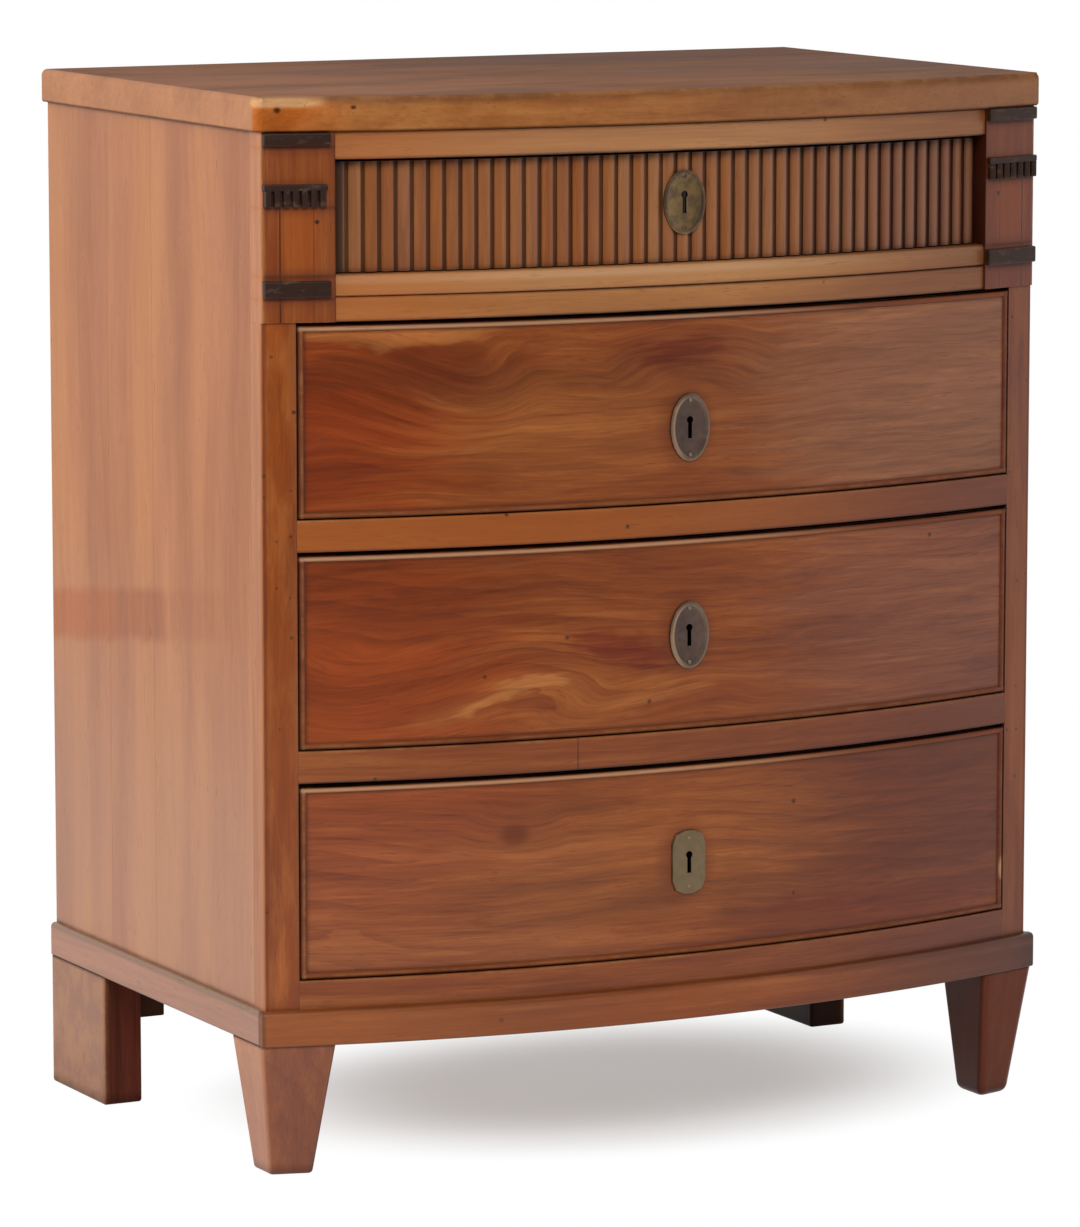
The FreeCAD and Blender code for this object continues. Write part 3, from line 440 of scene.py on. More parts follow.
class Nodes:
    """A node tree that is built up node by node."""

    def __init__(self, tree):
        self.tree = tree

    def add(self, kind, settings=None, sockets=None, out=0):
        """Add a node and return one of its outputs."""
        node = self.tree.nodes.new("ShaderNode" + kind)
        for key, value in (settings or {}).items():
            if key == "stops":
                self.set_stops(node.color_ramp, value)
            else:
                setattr(node, key, value)
        for key, value in (sockets or {}).items():
            self.feed(node.inputs[key], value)
        return Amount(self, node.outputs[out])

    def set_stops(self, ramp, stops):
        while len(ramp.elements) < len(stops):
            ramp.elements.new(1.0)
        for element, (position, shade) in zip(ramp.elements, stops):
            element.position = position
            element.color = (*shade, 1.0)

    def feed(self, socket, value):
        """Give a socket a link, a value or a colour by its name."""
        if isinstance(value, Amount):
            self.tree.links.new(value.socket, socket)
        elif socket.type == "SHADER":
            raise TypeError("a shader socket takes only a link")
        elif socket.type == "RGBA":
            socket.default_value = (*paint(value), 1.0)
        else:
            socket.default_value = value

    def stretch(self, place, scale, shift=(0, 0, 0), turn=(0, 0, 0)):
        return self.add("Mapping", {}, {"Vector": place, "Scale": scale, "Location": shift, "Rotation": turn})

    def parts(self, place):
        """The three coordinates of a place."""
        return [self.add("SeparateXYZ", {}, {"Vector": place}, out) for out in "XYZ"]

    def cloud(self, place, scale, shift=(0, 0, 0), detail=2.0, rough=0.5, out="Fac"):
        """Soft noise, about one lump to a metre divided by the scale."""
        spot = self.stretch(place, scale, shift)
        return self.add("TexNoise", {}, {"Vector": spot, "Scale": 1.0, "Detail": detail, "Roughness": rough}, out)

    def fade(self, value, start, end):
        """A smooth step from 0 at the start to 1 at the end."""
        sockets = {"Value": value, "From Min": start, "From Max": end}
        return self.add("MapRange", {"interpolation_type": "SMOOTHSTEP"}, sockets)

    def blend(self, share, first, second):
        """A colour mixed from two by a share."""
        settings = {"data_type": "RGBA", "clamp_factor": True}
        return self.add("Mix", settings, {0: share, 6: first, 7: second}, 2)


COAT_ROUGHNESS = 0.12


class Finish(Nodes):
    """A material round one shader."""

    def __init__(self, name, roughness=0.4, coat=0.0, specular=0.5):
        self.material = bpy.data.materials.new(name)
        self.material.use_nodes = True
        super().__init__(self.material.node_tree)
        self.shader = self.tree.nodes["Principled BSDF"]
        self.give("Roughness", roughness)
        self.give("Specular IOR Level", specular)
        self.give("Coat Weight", coat)
        self.give("Coat Roughness", COAT_ROUGHNESS)
        self.place = self.add("TexCoord", out="Object")

    def give(self, socket, value):
        """Lead a value to a socket of the shader."""
        self.feed(self.shader.inputs[socket], value)

    def bump(self, height, strength, depth):
        sockets = {"Height": height, "Strength": strength, "Distance": depth}
        self.give("Normal", self.add("Bump", {}, sockets))


PORE_COLOUR = (0.03, 0.012, 0.006)
GRAIN_TURN = {"x": (0, 0, 0), "y": (0, 0, -math.pi / 2), "z": (0, math.pi / 2, 0)}


class Wood(Finish):
    """A polished wood with streaks, rings, fibres, pores, clouds, specks and rubbed edges, and with shade and
    highlights painted into its colour.
    """

    def __init__(self, name, tones, grain="x", seed=0, streaks=1.0, fibres=0.5, clouds=0.7, rings=0.12, spacing=0.009,
                 pith=(0.1, 0.1), lean=0.05, sway=0.03, swirls=(), bowed=False, roughness=0.34, coat=0.12,
                 specular=0.35):
        super().__init__(name, roughness, coat, specular)
        self.rough = roughness
        self.x, self.y, self.z = self.parts(self.place)
        self.radius = (self.x * self.x + (self.y - AXIS_Y) * (self.y - AXIS_Y)) ** 0.5
        shift = (seed * 3.17, seed * 1.31, seed * 2.23)
        laid = self.place
        if bowed:
            laid = self.add("CombineXYZ", {}, {"X": self.x, "Y": AXIS_Y - self.radius, "Z": self.z})
        self.along = self.stretch(laid, (1, 1, 1), turn=GRAIN_TURN[grain])
        wander = self.cloud(self.along, (2.4, 7, 7), shift, 3.0, 0.5, "Color")
        bent = self.add("VectorMath", {"operation": "MULTIPLY_ADD"}, {0: wander, 1: (0, sway, sway), 2: self.along})
        if swirls:
            lift = sum(((self.x - place[0]) * tilt + height) * self.spot(place, *reach)
                       for place, reach, height, tilt in swirls)
            rise = self.add("CombineXYZ", {}, {"Z": lift})
            bent = self.add("VectorMath", {"operation": "ADD"}, {0: bent, 1: rise})
        x, y, z = self.parts(bent)
        off_y = y - pith[0]
        off_z = z - pith[1] + x * lean
        broad = self.cloud(bent, (2.2, 26, 26), shift, 3.0, 0.55)
        narrow = self.cloud(bent, (6, 120, 120), shift, 3.0, 0.6)
        turns = ((off_y * off_y + off_z * off_z) ** 0.5) / spacing + broad * 2.0
        ring = turns.sum("FRACT", turns) ** 3.0
        self.fibre = self.cloud(bent, (20, 480, 480), shift, 4.0, 0.65)
        self.mist = self.cloud(self.along, (3.5, 9, 9), shift, 3.0, 0.55)
        dash = self.fade(self.cloud(bent, (60, 1100, 1100), shift, 1.0, 0.5), 0.6, 0.72)
        self.pores = dash * self.fade(narrow, 0.4, 0.62)
        tone = (0.5 + (broad - 0.5) * (0.9 * streaks) + (narrow - 0.5) * (0.7 * streaks) + (self.fibre - 0.5) * fibres
                + (self.mist - 0.5) * clouds - ring * self.fade(self.mist, 0.3, 0.7) * rings)
        self.grain = tone
        self.fingers = self.cloud(bent, (7, 90, 90), shift, 4.0, 0.6) - 0.5
        self.drift = self.cloud(self.along, (16, 34, 34), shift, 3.0, 0.6) - 0.5
        self.skin = self.toned(tones)
        self.dents = 0.0
        self.stains = 0.0

    def toned(self, tones):
        """The grain in deep, middle and light tones: those of a family, or three colours."""
        if isinstance(tones, str):
            tones = [tones + depth for depth in ("_deep", "_mid", "_light")]
        stops = [(place, paint(tone)) for place, tone in zip((0.15, 0.5, 0.85), tones)]
        return self.add("ValToRGB", {"stops": stops}, {"Fac": self.grain})

    def tone(self, share, shade):
        """Mix another colour into the wood."""
        self.skin = self.blend(share, self.skin, shade)

    def layers(self, *rows):
        """Mix several colours into the wood, one after another."""
        for share, shade in rows:
            self.tone(share, shade)

    def near(self, value, position, reach):
        """1 at a position, falling to 0 at a reach from it."""
        return self.fade(abs(value - position), reach, 0.0)

    def spot(self, place, wide, high):
        """1 inside a soft spot on the front, round a place across and a place up."""
        across = (self.x - place[0]) / wide
        up = (self.z - place[1]) / high
        return self.fade(across * across + up * up, 1.0, 0.0)

    def patch(self, place, wide, high, slope):
        """A soft spot, level or sloping, whose ends run out in fingers along the grain."""
        off = self.x - place[0]
        across = (off + self.fingers * 0.2) / wide
        up = (self.z - place[1] - off * slope + self.drift * 0.04) / high
        return self.fade(across * across + up * up, 1.2, 0.0)

    def shaded(self, shade):
        """The grain in tones round one colour."""
        return self.toned([tuple(min(part * share, 1.0) for part in paint(shade)) for share in (0.55, 1.0, 1.5)])

    def rub(self, value, position, reach, share, shade="worn"):
        """Rub an edge down to lighter wood, unevenly; also paints highlights along rounded crests and edges."""
        patchy = 0.35 + 0.65 * self.fade(self.cloud(self.place, (45, 45, 45), (4, 1, 7), 4.0, 0.7), 0.4, 0.62)
        self.tone(self.near(value, position, reach) * patchy * share, shade)

    def soil(self, value, position, reach, share=0.8, shade="grime"):
        """Darken along a joint with dirt, and under an edge or in a recess with painted shade."""
        patchy = 0.5 + 0.7 * self.cloud(self.place, (30, 30, 30), (9, 2, 5), 3.0, 0.6)
        dirt = self.near(value, position, reach) * patchy * share
        self.tone(dirt, shade)
        # the darkened lines, painted shade as well as dirt, also make the wood rougher
        self.stains = self.stains + dirt

    def specks(self, scale, size, share=0.7):
        """Scatter small dark dents."""
        dots = self.add("TexVoronoi", {"feature": "F1"}, {"Vector": self.place, "Scale": scale}, "Distance")
        chance = self.parts(Amount(self, dots.socket.node.outputs["Color"]))[0]
        self.dent(self.fade(dots, size, size * 0.4) * self.fade(chance, 0.78, 0.82), share)

    def dent(self, mark, share):
        """Darken and sink a small mark."""
        self.tone(mark * share, "grime")
        self.dents = self.dents + mark

    def keyhole(self, drawer):
        """Paint the dark of the hole, as painted shade, on the wood behind a keyhole."""
        centre = plate_middle(drawer)
        self.tone((self.spot((centre.x, centre.z), 0.009, 0.016) * 4.0).least(1.0), "gap")

    def done(self, relief=0.25):
        """Lead colour, gloss and relief to the shader."""
        self.tone(self.pores * 0.3, PORE_COLOUR)
        self.give("Base Color", self.skin)
        self.give("Roughness", self.rough + (self.mist - 0.5) * 0.25 + self.pores * 0.1 + self.stains * 0.2)
        self.bump(self.fibre * 0.3 - self.pores * 0.5 - self.dents * 1.2, relief, 0.0006)
        return self.material


# Case

# Dark marks on the top's front edge: place, width and height
TOP_MARKS = (((-0.3254, 0.8105), 0.0035, 0.003), ((-0.3, 0.819), 0.007, 0.003), ((-0.27, 0.812), 0.003, 0.002))


class CHEST_OT_top(bpy.types.Operator):
    """Model the bowed top with its rounded edges"""

    bl_idname = "chest.top"
    bl_label = "Top"

    def execute(self, context):
        sizes = context.scene.chest_sizes
        slab = bowed_board("top_slab", TOP_RADIUS, TOP_LOW.x, TOP_HIGH.x, TOP_HIGH.y, TOP_LOW.z, TOP_HIGH.z)
        ease(slab, sizes.top_corner, 5, lambda edge: upright(edge) and middle(edge).y < 0)
        not_back = TOP_HIGH.y - NEAR
        for size, steps, level in ((sizes.top_upper, 5, TOP_HIGH.z), (sizes.top_lower, 3, TOP_LOW.z)):
            ease(slab, size, steps, lambda edge: at_level(edge, level) and middle(edge).y < not_back)
        settle(slab, "top_board", self.finish())
        return {"FINISHED"}

    def finish(self):
        wood = Wood("top_wood", "top", "x", 3, pith=(0.2, 0.9), roughness=0.62, coat=0.0, specular=0.06)
        edge = wood.fade(wood.z, TOP_HIGH.z - 0.0001, TOP_HIGH.z - 0.009)
        face = 1.0 - edge
        wood.layers((edge, wood.toned("gold")), (wood.fade(wood.x, 0.1, -0.3) * face * 0.35, "side_mid"))
        worn_top = wood.fade(wood.cloud(wood.place, (5, 14, 3), (2, 7, 0), 4.0, 0.6), 0.42, 0.66)
        wood.tone(worn_top * face * 0.48, "dark")
        # painted shade and light: the top's surface darker towards the back right and lighter towards the front left
        shade = wood.fade(wood.y + wood.x * 0.35, -0.15, 0.25)
        wood.layers((shade * face * 0.45, "top_deep"), ((1.0 - shade) * face * 0.1, "gold_mid"))
        behind = wood.fade(wood.y, -0.1705, -0.166)
        flank = wood.fade(wood.x, TOP_LOW.x + 0.006, TOP_LOW.x + 0.003) * behind
        wood.layers((flank, wood.toned("side")), (flank * 0.25, "cream"), (flank * 0.2, "faded"))
        front = edge * wood.fade(wood.y, 0.0, -0.1)
        ends = front * wood.fade(wood.x, -0.25, TOP_LOW.x + 0.004) * (1.0 - flank)
        wood.layers(
            (ends * 0.9, wood.shaded("amber")), (ends * 0.15, "ember"),
            # painted sheen: the front edge greyer and paler towards the right end
            (edge * wood.fade(wood.x, -0.2, 0.3) * 0.45, "faded"),
            (edge * wood.fade(wood.x, 0.1, 0.33) * 0.12, "cream"),
        )
        wood.rub(wood.radius, TOP_RADIUS - 0.002, 0.004, 0.3)
        # painted highlight, with some wear: the rounded front left corner paler
        across, back = (wood.x - TOP_LOW.x - 0.01) / 0.05, (wood.y + 0.18) / 0.02
        corner = wood.fade(across * across + back * back, 1.0, 0.0) * wood.near(wood.z, TOP_HIGH.z - 0.004, 0.0055)
        wood.layers(((corner * 1.6).least(0.95), wood.shaded("worn")), (corner * 0.4, "cream"))
        wood.soil(wood.z, TOP_LOW.z, 0.0025, 0.7)
        for place, wide, high in TOP_MARKS:
            wood.dent(wood.spot(place, wide, high) * front, 0.85)
        wood.specks(30, 0.10, 0.6)
        return wood.done()


# Rails: the drawer whose bolt slides in, the grain's seed, the family of tones, half the width,
# and what they are rubbed or darkened with, and by how much
RAILS = {
    "top_rail": ("frieze", 1, "gold", HALF_FRIEZE, "cream", 0.25),
    "frieze_rail": ("upper", 2, "gold", HALF_FRIEZE, "worn", 0.25),
    "upper_divider_rail": ("middle", 3, "front", HALF_OPENING, "front_light", 0.45),
    "lower_divider_rail": ("lower", 4, "front", HALF_OPENING, "front_deep", 0.25),
    "bottom_rail": (None, 5, "front", HALF_OPENING, "front_deep", 0.1),
    "frieze_moulding": (None, 6, "gold", HALF_FRIEZE, "worn", 0.6),
}
BOTTOM_RAIL_DEPTH = 0.026
BOLT_ROOM = Vector((0.0005, 0.0008, 0.009))


class CHEST_OT_rails(bpy.types.Operator):
    """Model the bowed rails and the moulding under the frieze"""

    bl_idname = "chest.rails"
    bl_label = "Rails"

    def execute(self, context):
        sizes = context.scene.chest_sizes
        for node, (drawer, seed, family, half, shade, share) in RAILS.items():
            low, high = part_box(node)
            if node == "bottom_rail":
                rail = bowed_strip(node + "_wood", BOW_RADIUS, BOTTOM_RAIL_DEPTH, -half, half, low.z, high.z)
            else:
                rail = bowed_board(node + "_wood", BOW_RADIUS, -half, half, RAIL_BACK, low.z, high.z)
            size, steps = (sizes.moulding_edge, 4) if node == "frieze_moulding" else (sizes.rail_edge, 3)
            ease(rail, size, steps, along_bow(BOW_RADIUS))
            if drawer:
                self.mortise(rail, drawer, low.z)
            settle(rail, node, self.finish(node, drawer, seed, family, shade, share))
        return {"FINISHED"}

    def mortise(self, rail, drawer, floor):
        """Cut the mortise that a lock bolt slides into."""
        low, high = (Vector((corner.x, corner.y, floor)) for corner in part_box(drawer + "_lock_bolt"))
        cut(rail, block("mortise", low - BOLT_ROOM, high + BOLT_ROOM))

    def finish(self, node, drawer, seed, family, shade, share):
        low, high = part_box(node)
        wood = Wood(node + "_finish", family, "x", seed, pith=(0.3, low.z + 0.3), sway=0.02, bowed=True)
        wood.tone(share * (1.0 - 0.7 * wood.fade(wood.x, 0.05, 0.3)), shade)
        wood.rub(wood.z, high.z, 0.003, 0.3)
        if node == "frieze_moulding":
            # painted highlight along the moulding's upper edge, fading towards the right, and painted shade along its
            # lower edge
            left = 0.55 - 0.45 * wood.fade(wood.x, 0.0, 0.25)
            wood.tone(wood.near(wood.z, high.z - 0.004, 0.005) * left, "cream")
            wood.soil(wood.z, low.z, 0.005, 0.5, "front_mid")
        if node in ("frieze_rail", "top_rail"):
            wood.soil(wood.z, high.z, 0.002, 0.8)
        if drawer:
            # painted shade: the black of the gap beneath, carried onto the rail's lower edge
            wood.soil(wood.z, low.z, 0.0026, 1.1, "gap")
        else:
            wood.soil(wood.z, low.z, 0.0016)
        if node == "lower_divider_rail":
            wood.soil(wood.x, -0.0942, 0.0011, 0.7)
        # painted shade: the rails darker and more purple towards the right end of the bow
        wood.tone(wood.fade(wood.x, 0.0, 0.32) * (0.4 if node == "top_rail" else 0.62), "plum")
        if family == "gold":
            wood.tone(wood.fade(wood.x, -0.1, -0.28) * 0.4, "amber")
        if node == "upper_divider_rail":
            wood.tone(wood.fade(wood.x, 0.2, -0.1) * 0.25, "amber")
        wood.specks(40, 0.09)
        return wood.done()


class CHEST_OT_corners(bpy.types.Operator):
    """Model the stiles, the frieze blocks and the black bands on them"""

    bl_idname = "chest.corners"
    bl_label = "Stiles, blocks and bands"

    def execute(self, context):
        sizes = context.scene.chest_sizes
        black = self.black_finish()
        plain, toothed = [], []
        for side, sign in SIDES:
            post = self.post(sizes, side + "_post", side + "_stile", BOW_RADIUS)
            settle(post, side + "_stile", self.post_finish(side, sign))
            solid = self.post(sizes, side + "_block", side + "_frieze_block", BLOCK_FACE)
            ease(solid, sizes.fine_edge, 2, lambda edge: on_bow(edge, BLOCK_FACE))
            settle(solid, side + "_frieze_block", self.block_finish(side, sign))
            plain += self.plain_bands(sizes, sign)
            toothed += self.toothed_band(sizes, sign)
        settle(join("black_bands", plain), "plain_bands", black)
        settle(join("toothed_bands", toothed), "dentil_bands", black)
        return {"FINISHED"}

    def post(self, sizes, name, node, face):
        """A post with a bowed face and a rounded outer corner."""
        low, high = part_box(node)
        post = bowed_board(name, face, low.x, high.x, STILE_BACK, low.z, high.z)
        ease(post, sizes.case_corner, 4, lambda edge: (
            upright(edge) and abs(middle(edge).x) > HALF_CASE - NEAR and middle(edge).y < STILE_BACK - NEAR))
        return post

    def band(self, sizes, name, ends, low, high):
        """One strip of black wood on a block's face."""
        sunk = 0.0004
        stands = sizes.band_projection
        return bowed_strip(name, BLOCK_FACE + stands, stands + sunk, *ends, low, high)

    def ends(self, sign, left_inset, right_inset):
        """Where a band starts and stops across its block."""
        inset = left_inset if sign < 0 else right_inset
        return sorted((sign * (HALF_FRIEZE + inset), sign * (HALF_CASE - 0.0005)))

    def plain_bands(self, sizes, sign):
        ends = self.ends(sign, 0.005, 0.0008)
        low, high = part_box("plain_bands")
        made = []
        for floor, roof in ((low.z + 0.0005, low.z + 0.013), (high.z - 0.0102, high.z - 0.0006)):
            made.append(self.band(sizes, "band", ends, floor, roof))
            ease(made[-1], sizes.band_edge, 3)
        return made

    def toothed_band(self, sizes, sign):
        left, right = self.ends(sign, 0.0075, 0.0012)
        floor, roof = (corner.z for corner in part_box("dentil_bands"))
        neck = floor + sizes.tooth_height
        fillet = self.band(sizes, "fillet", (left, right), neck, roof)
        ease(fillet, 0.0008, 2)
        backing = bowed_strip("tooth_backing", BLOCK_FACE + 0.0016, 0.002, left + 0.001, right - 0.001,
                              floor + 0.0005, neck)
        half, margin = sizes.tooth_width / 2, 0.0008
        outside = BLOCK_FACE + sizes.band_projection
        first, last = right - half - margin, left + half + margin
        turn = math.asin(first / outside) - math.asin(last / outside)
        front = AXIS_Y - math.sqrt(outside * outside - first * first)
        tooth = block("tooth", (first - half, front, floor), (first + half, front + 0.006, neck + 0.0004))
        ease(tooth, 0.0009, 3)
        edit(tooth)
        bpy.ops.mesh.spin(steps=sizes.teeth - 1, dupli=True, angle=turn, center=(0, AXIS_Y, 0), axis=(0, 0, 1))
        leave()
        return [fillet, backing, tooth]

    def flank(self, wood, sign):
        """Carry the side panel's tones round the corner."""
        outside = wood.fade(sign * wood.x, HALF_CASE - 0.0012, HALF_CASE - 0.0002)
        wood.layers((outside, wood.toned("side")), (outside * 0.3, "gold_mid"))

    def post_finish(self, side, sign):
        wood = Wood(side + "_stile_finish", "front", "z", 7 + sign, pith=(0.2, 0.3), sway=0.015)
        wood.tone(0.45, wood.shaded("amber"))
        uneven = wood.fade(wood.cloud(wood.place, (50, 50, 11), (3, 1, 8), 4.0, 0.65), 0.38, 0.62)
        wood.layers((uneven * 0.35, "front_deep"), ((1.0 - uneven) * 0.5, "gold_mid"))
        # painted shade: the right stile darker
        if sign > 0:
            wood.tone(0.5, "plum")
        wood.rub(sign * wood.x, HALF_OPENING, 0.003, 0.2)
        wood.soil(sign * wood.x, HALF_OPENING, 0.0012, 0.5)
        # painted shade beside the drawer openings
        wood.soil(sign * wood.x, HALF_OPENING, 0.008, 0.5, "front_deep")
        wood.soil(wood.z, 0.652, 0.0012, 0.7)
        wood.soil(sign * wood.x, HALF_CASE - 0.0018, 0.003, 0.8, "front_deep")
        wood.specks(55, 0.13)
        wood.specks(105, 0.2, 0.6)
        self.flank(wood, sign)
        return wood.done()

    def block_finish(self, side, sign):
        wood = Wood(side + "_block_finish", "front", "z", 11 + sign, pith=(0.2, 0.3), sway=0.012)
        wood.tone(wood.spot((sign * 0.308, 0.715), 0.02, 0.06) * 0.5, "amber")
        # painted shade: the right block darker
        if sign > 0:
            wood.tone(0.45, "plum")
        wood.tone(0.2, "front_red")
        below = wood.fade(wood.z, 0.742, 0.736)
        wood.layers(
            (wood.near(wood.x, sign * 0.3225, 0.0011) * below * 0.85, "grime"),
            (wood.near(wood.x, sign * 0.298, 0.0008) * below * 0.5, "grime"),
        )
        wood.dent(wood.spot((sign * 0.2957, 0.7271), 0.0024, 0.0024), 0.9)
        # painted shade along the edges of the black bands, with a dark line at each
        for level in (0.7375, 0.6695, 0.6865, 0.7825):
            wood.soil(wood.z, level, 0.0022, 0.7)
            wood.soil(wood.z, level, 0.009, 0.6, "front_deep")
        # painted shade: the block's inner face black and the wood beside the frieze opening darker
        wood.soil(sign * wood.x, HALF_FRIEZE, 0.002, 0.6)
        wood.layers(
            (wood.fade(sign * wood.x, HALF_FRIEZE + 0.0008, HALF_FRIEZE + 0.0002) * 0.9, "gap"),
            (wood.near(sign * wood.x, HALF_FRIEZE, 0.012) * 0.35, "front_deep"),
        )
        wood.rub(sign * wood.x, HALF_CASE - 0.001, 0.0025, 0.35)
        self.flank(wood, sign)
        wood.specks(40, 0.1)
        return wood.done()

    def black_finish(self):
        finish = Finish("black_band_finish", 0.5, 0.0, 0.25)
        rubbed = finish.fade(finish.cloud(finish.place, (60, 60, 160), (0, 0, 0), 4.0, 0.7), 0.52, 0.72)
        grain = finish.cloud(finish.place, (70, 500, 700), (0, 0, 0), 3.0, 0.6)
        finish.give("Base Color", finish.blend(rubbed * 0.7, "black", "black_rubbed"))
        finish.give("Roughness", 0.42 + rubbed * 0.2 + (grain - 0.5) * 0.2)
        finish.bump(grain * 0.5 + rubbed * 0.6, 0.35, 0.0005)
        return finish.material


class CHEST_OT_plinth(bpy.types.Operator):
    """Model the plinth moulding round the foot of the case"""

    bl_idname = "chest.plinth"
    bl_label = "Plinth"

    def execute(self, context):
        sizes = context.scene.chest_sizes
        low, high = PLINTH_LOW, PLINTH_HIGH
        face = AXIS_Y - low.y
        edges = ((sizes.plinth_upper, 5, high.z), (sizes.plinth_lower, 3, low.z))
        strip = bowed_strip("plinth_front", face, face - BOW_RADIUS, low.x, high.x, low.z, high.z)
        for size, steps, level in edges:
            ease(strip, size, steps, lambda edge: on_bow(edge, face) and at_level(edge, level))
        ease(strip, 0.0012, 3, lambda edge: abs(abs(middle(edge).x) - high.x) < NEAR)
        settle(strip, "front_plinth", self.finish("front_plinth", "front", "x", 13))
        for side, sign in SIDES:
            low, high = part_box(side + "_plinth")
            outside = low.x if sign < 0 else high.x
            strip = block("plinth_" + side, low, high)
            for size, steps, level in edges:
                ease(strip, size, steps, lambda edge: abs(middle(edge).x - outside) < NEAR and at_level(edge, level))
            settle(strip, side + "_plinth", self.finish(side + "_plinth", "side", "y", 14 + sign))
        return {"FINISHED"}

    def finish(self, node, tones, grain, seed):
        low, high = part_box(node)
        front = node == "front_plinth"
        wood = Wood(node + "_finish", tones, grain, seed, pith=(0.3, low.z + 0.3), sway=0.015, bowed=front)
        if front:
            wood.layers(
                (wood.fade(wood.x, 0.1, -0.25) * 0.3, "gold_mid"), (0.12, "amber"),
                # painted shade: the plinth darker and more purple towards the right end
                (wood.fade(wood.x, 0.0, 0.32) * 0.6, "plum"), (wood.fade(wood.x, 0.05, 0.34) * 0.5, "dark"),
            )
            # painted shade over the right end
            wood.soil(wood.x, high.x, 0.03, 0.5)
            wood.soil(wood.z, high.z, 0.004, 0.45)
            wood.soil(abs(wood.x), high.x, 0.0035, 0.6)
            # painted highlight along the rounded upper edge
            wood.rub(wood.z, high.z - 0.007, 0.003, 0.08)
        else:
            wood.layers((0.45, "faded"), (wood.fade(wood.z, high.z - 0.006, high.z - 0.003) * 0.85, "dust"))
        wood.soil(wood.z, low.z, 0.0022, 0.5)
        wood.specks(45, 0.12)
        return wood.done()


# Front feet: where the block starts and its middle, how far its outer upper corner lies back,
# how far the sole's outer and inner front corners lie in and back, and how far each sole is worn
# back in front and forward behind
FOOT_FRONT, FOOT_MIDDLE = -0.1903, -0.15
FOOT_SHOULDER = 0.0161
SOLE_OUTER, SOLE_INNER = (0.015, 0.0271), (0.008, 0.0177)
FOOT_TAPER = {"left": (0.008, 0.005), "right": (0.0, 0.013)}

# Glue blocks: width, length at the back, and height at the front
GLUE_WIDE, GLUE_LONG, GLUE_SHORT = 0.023, 0.086, 0.014


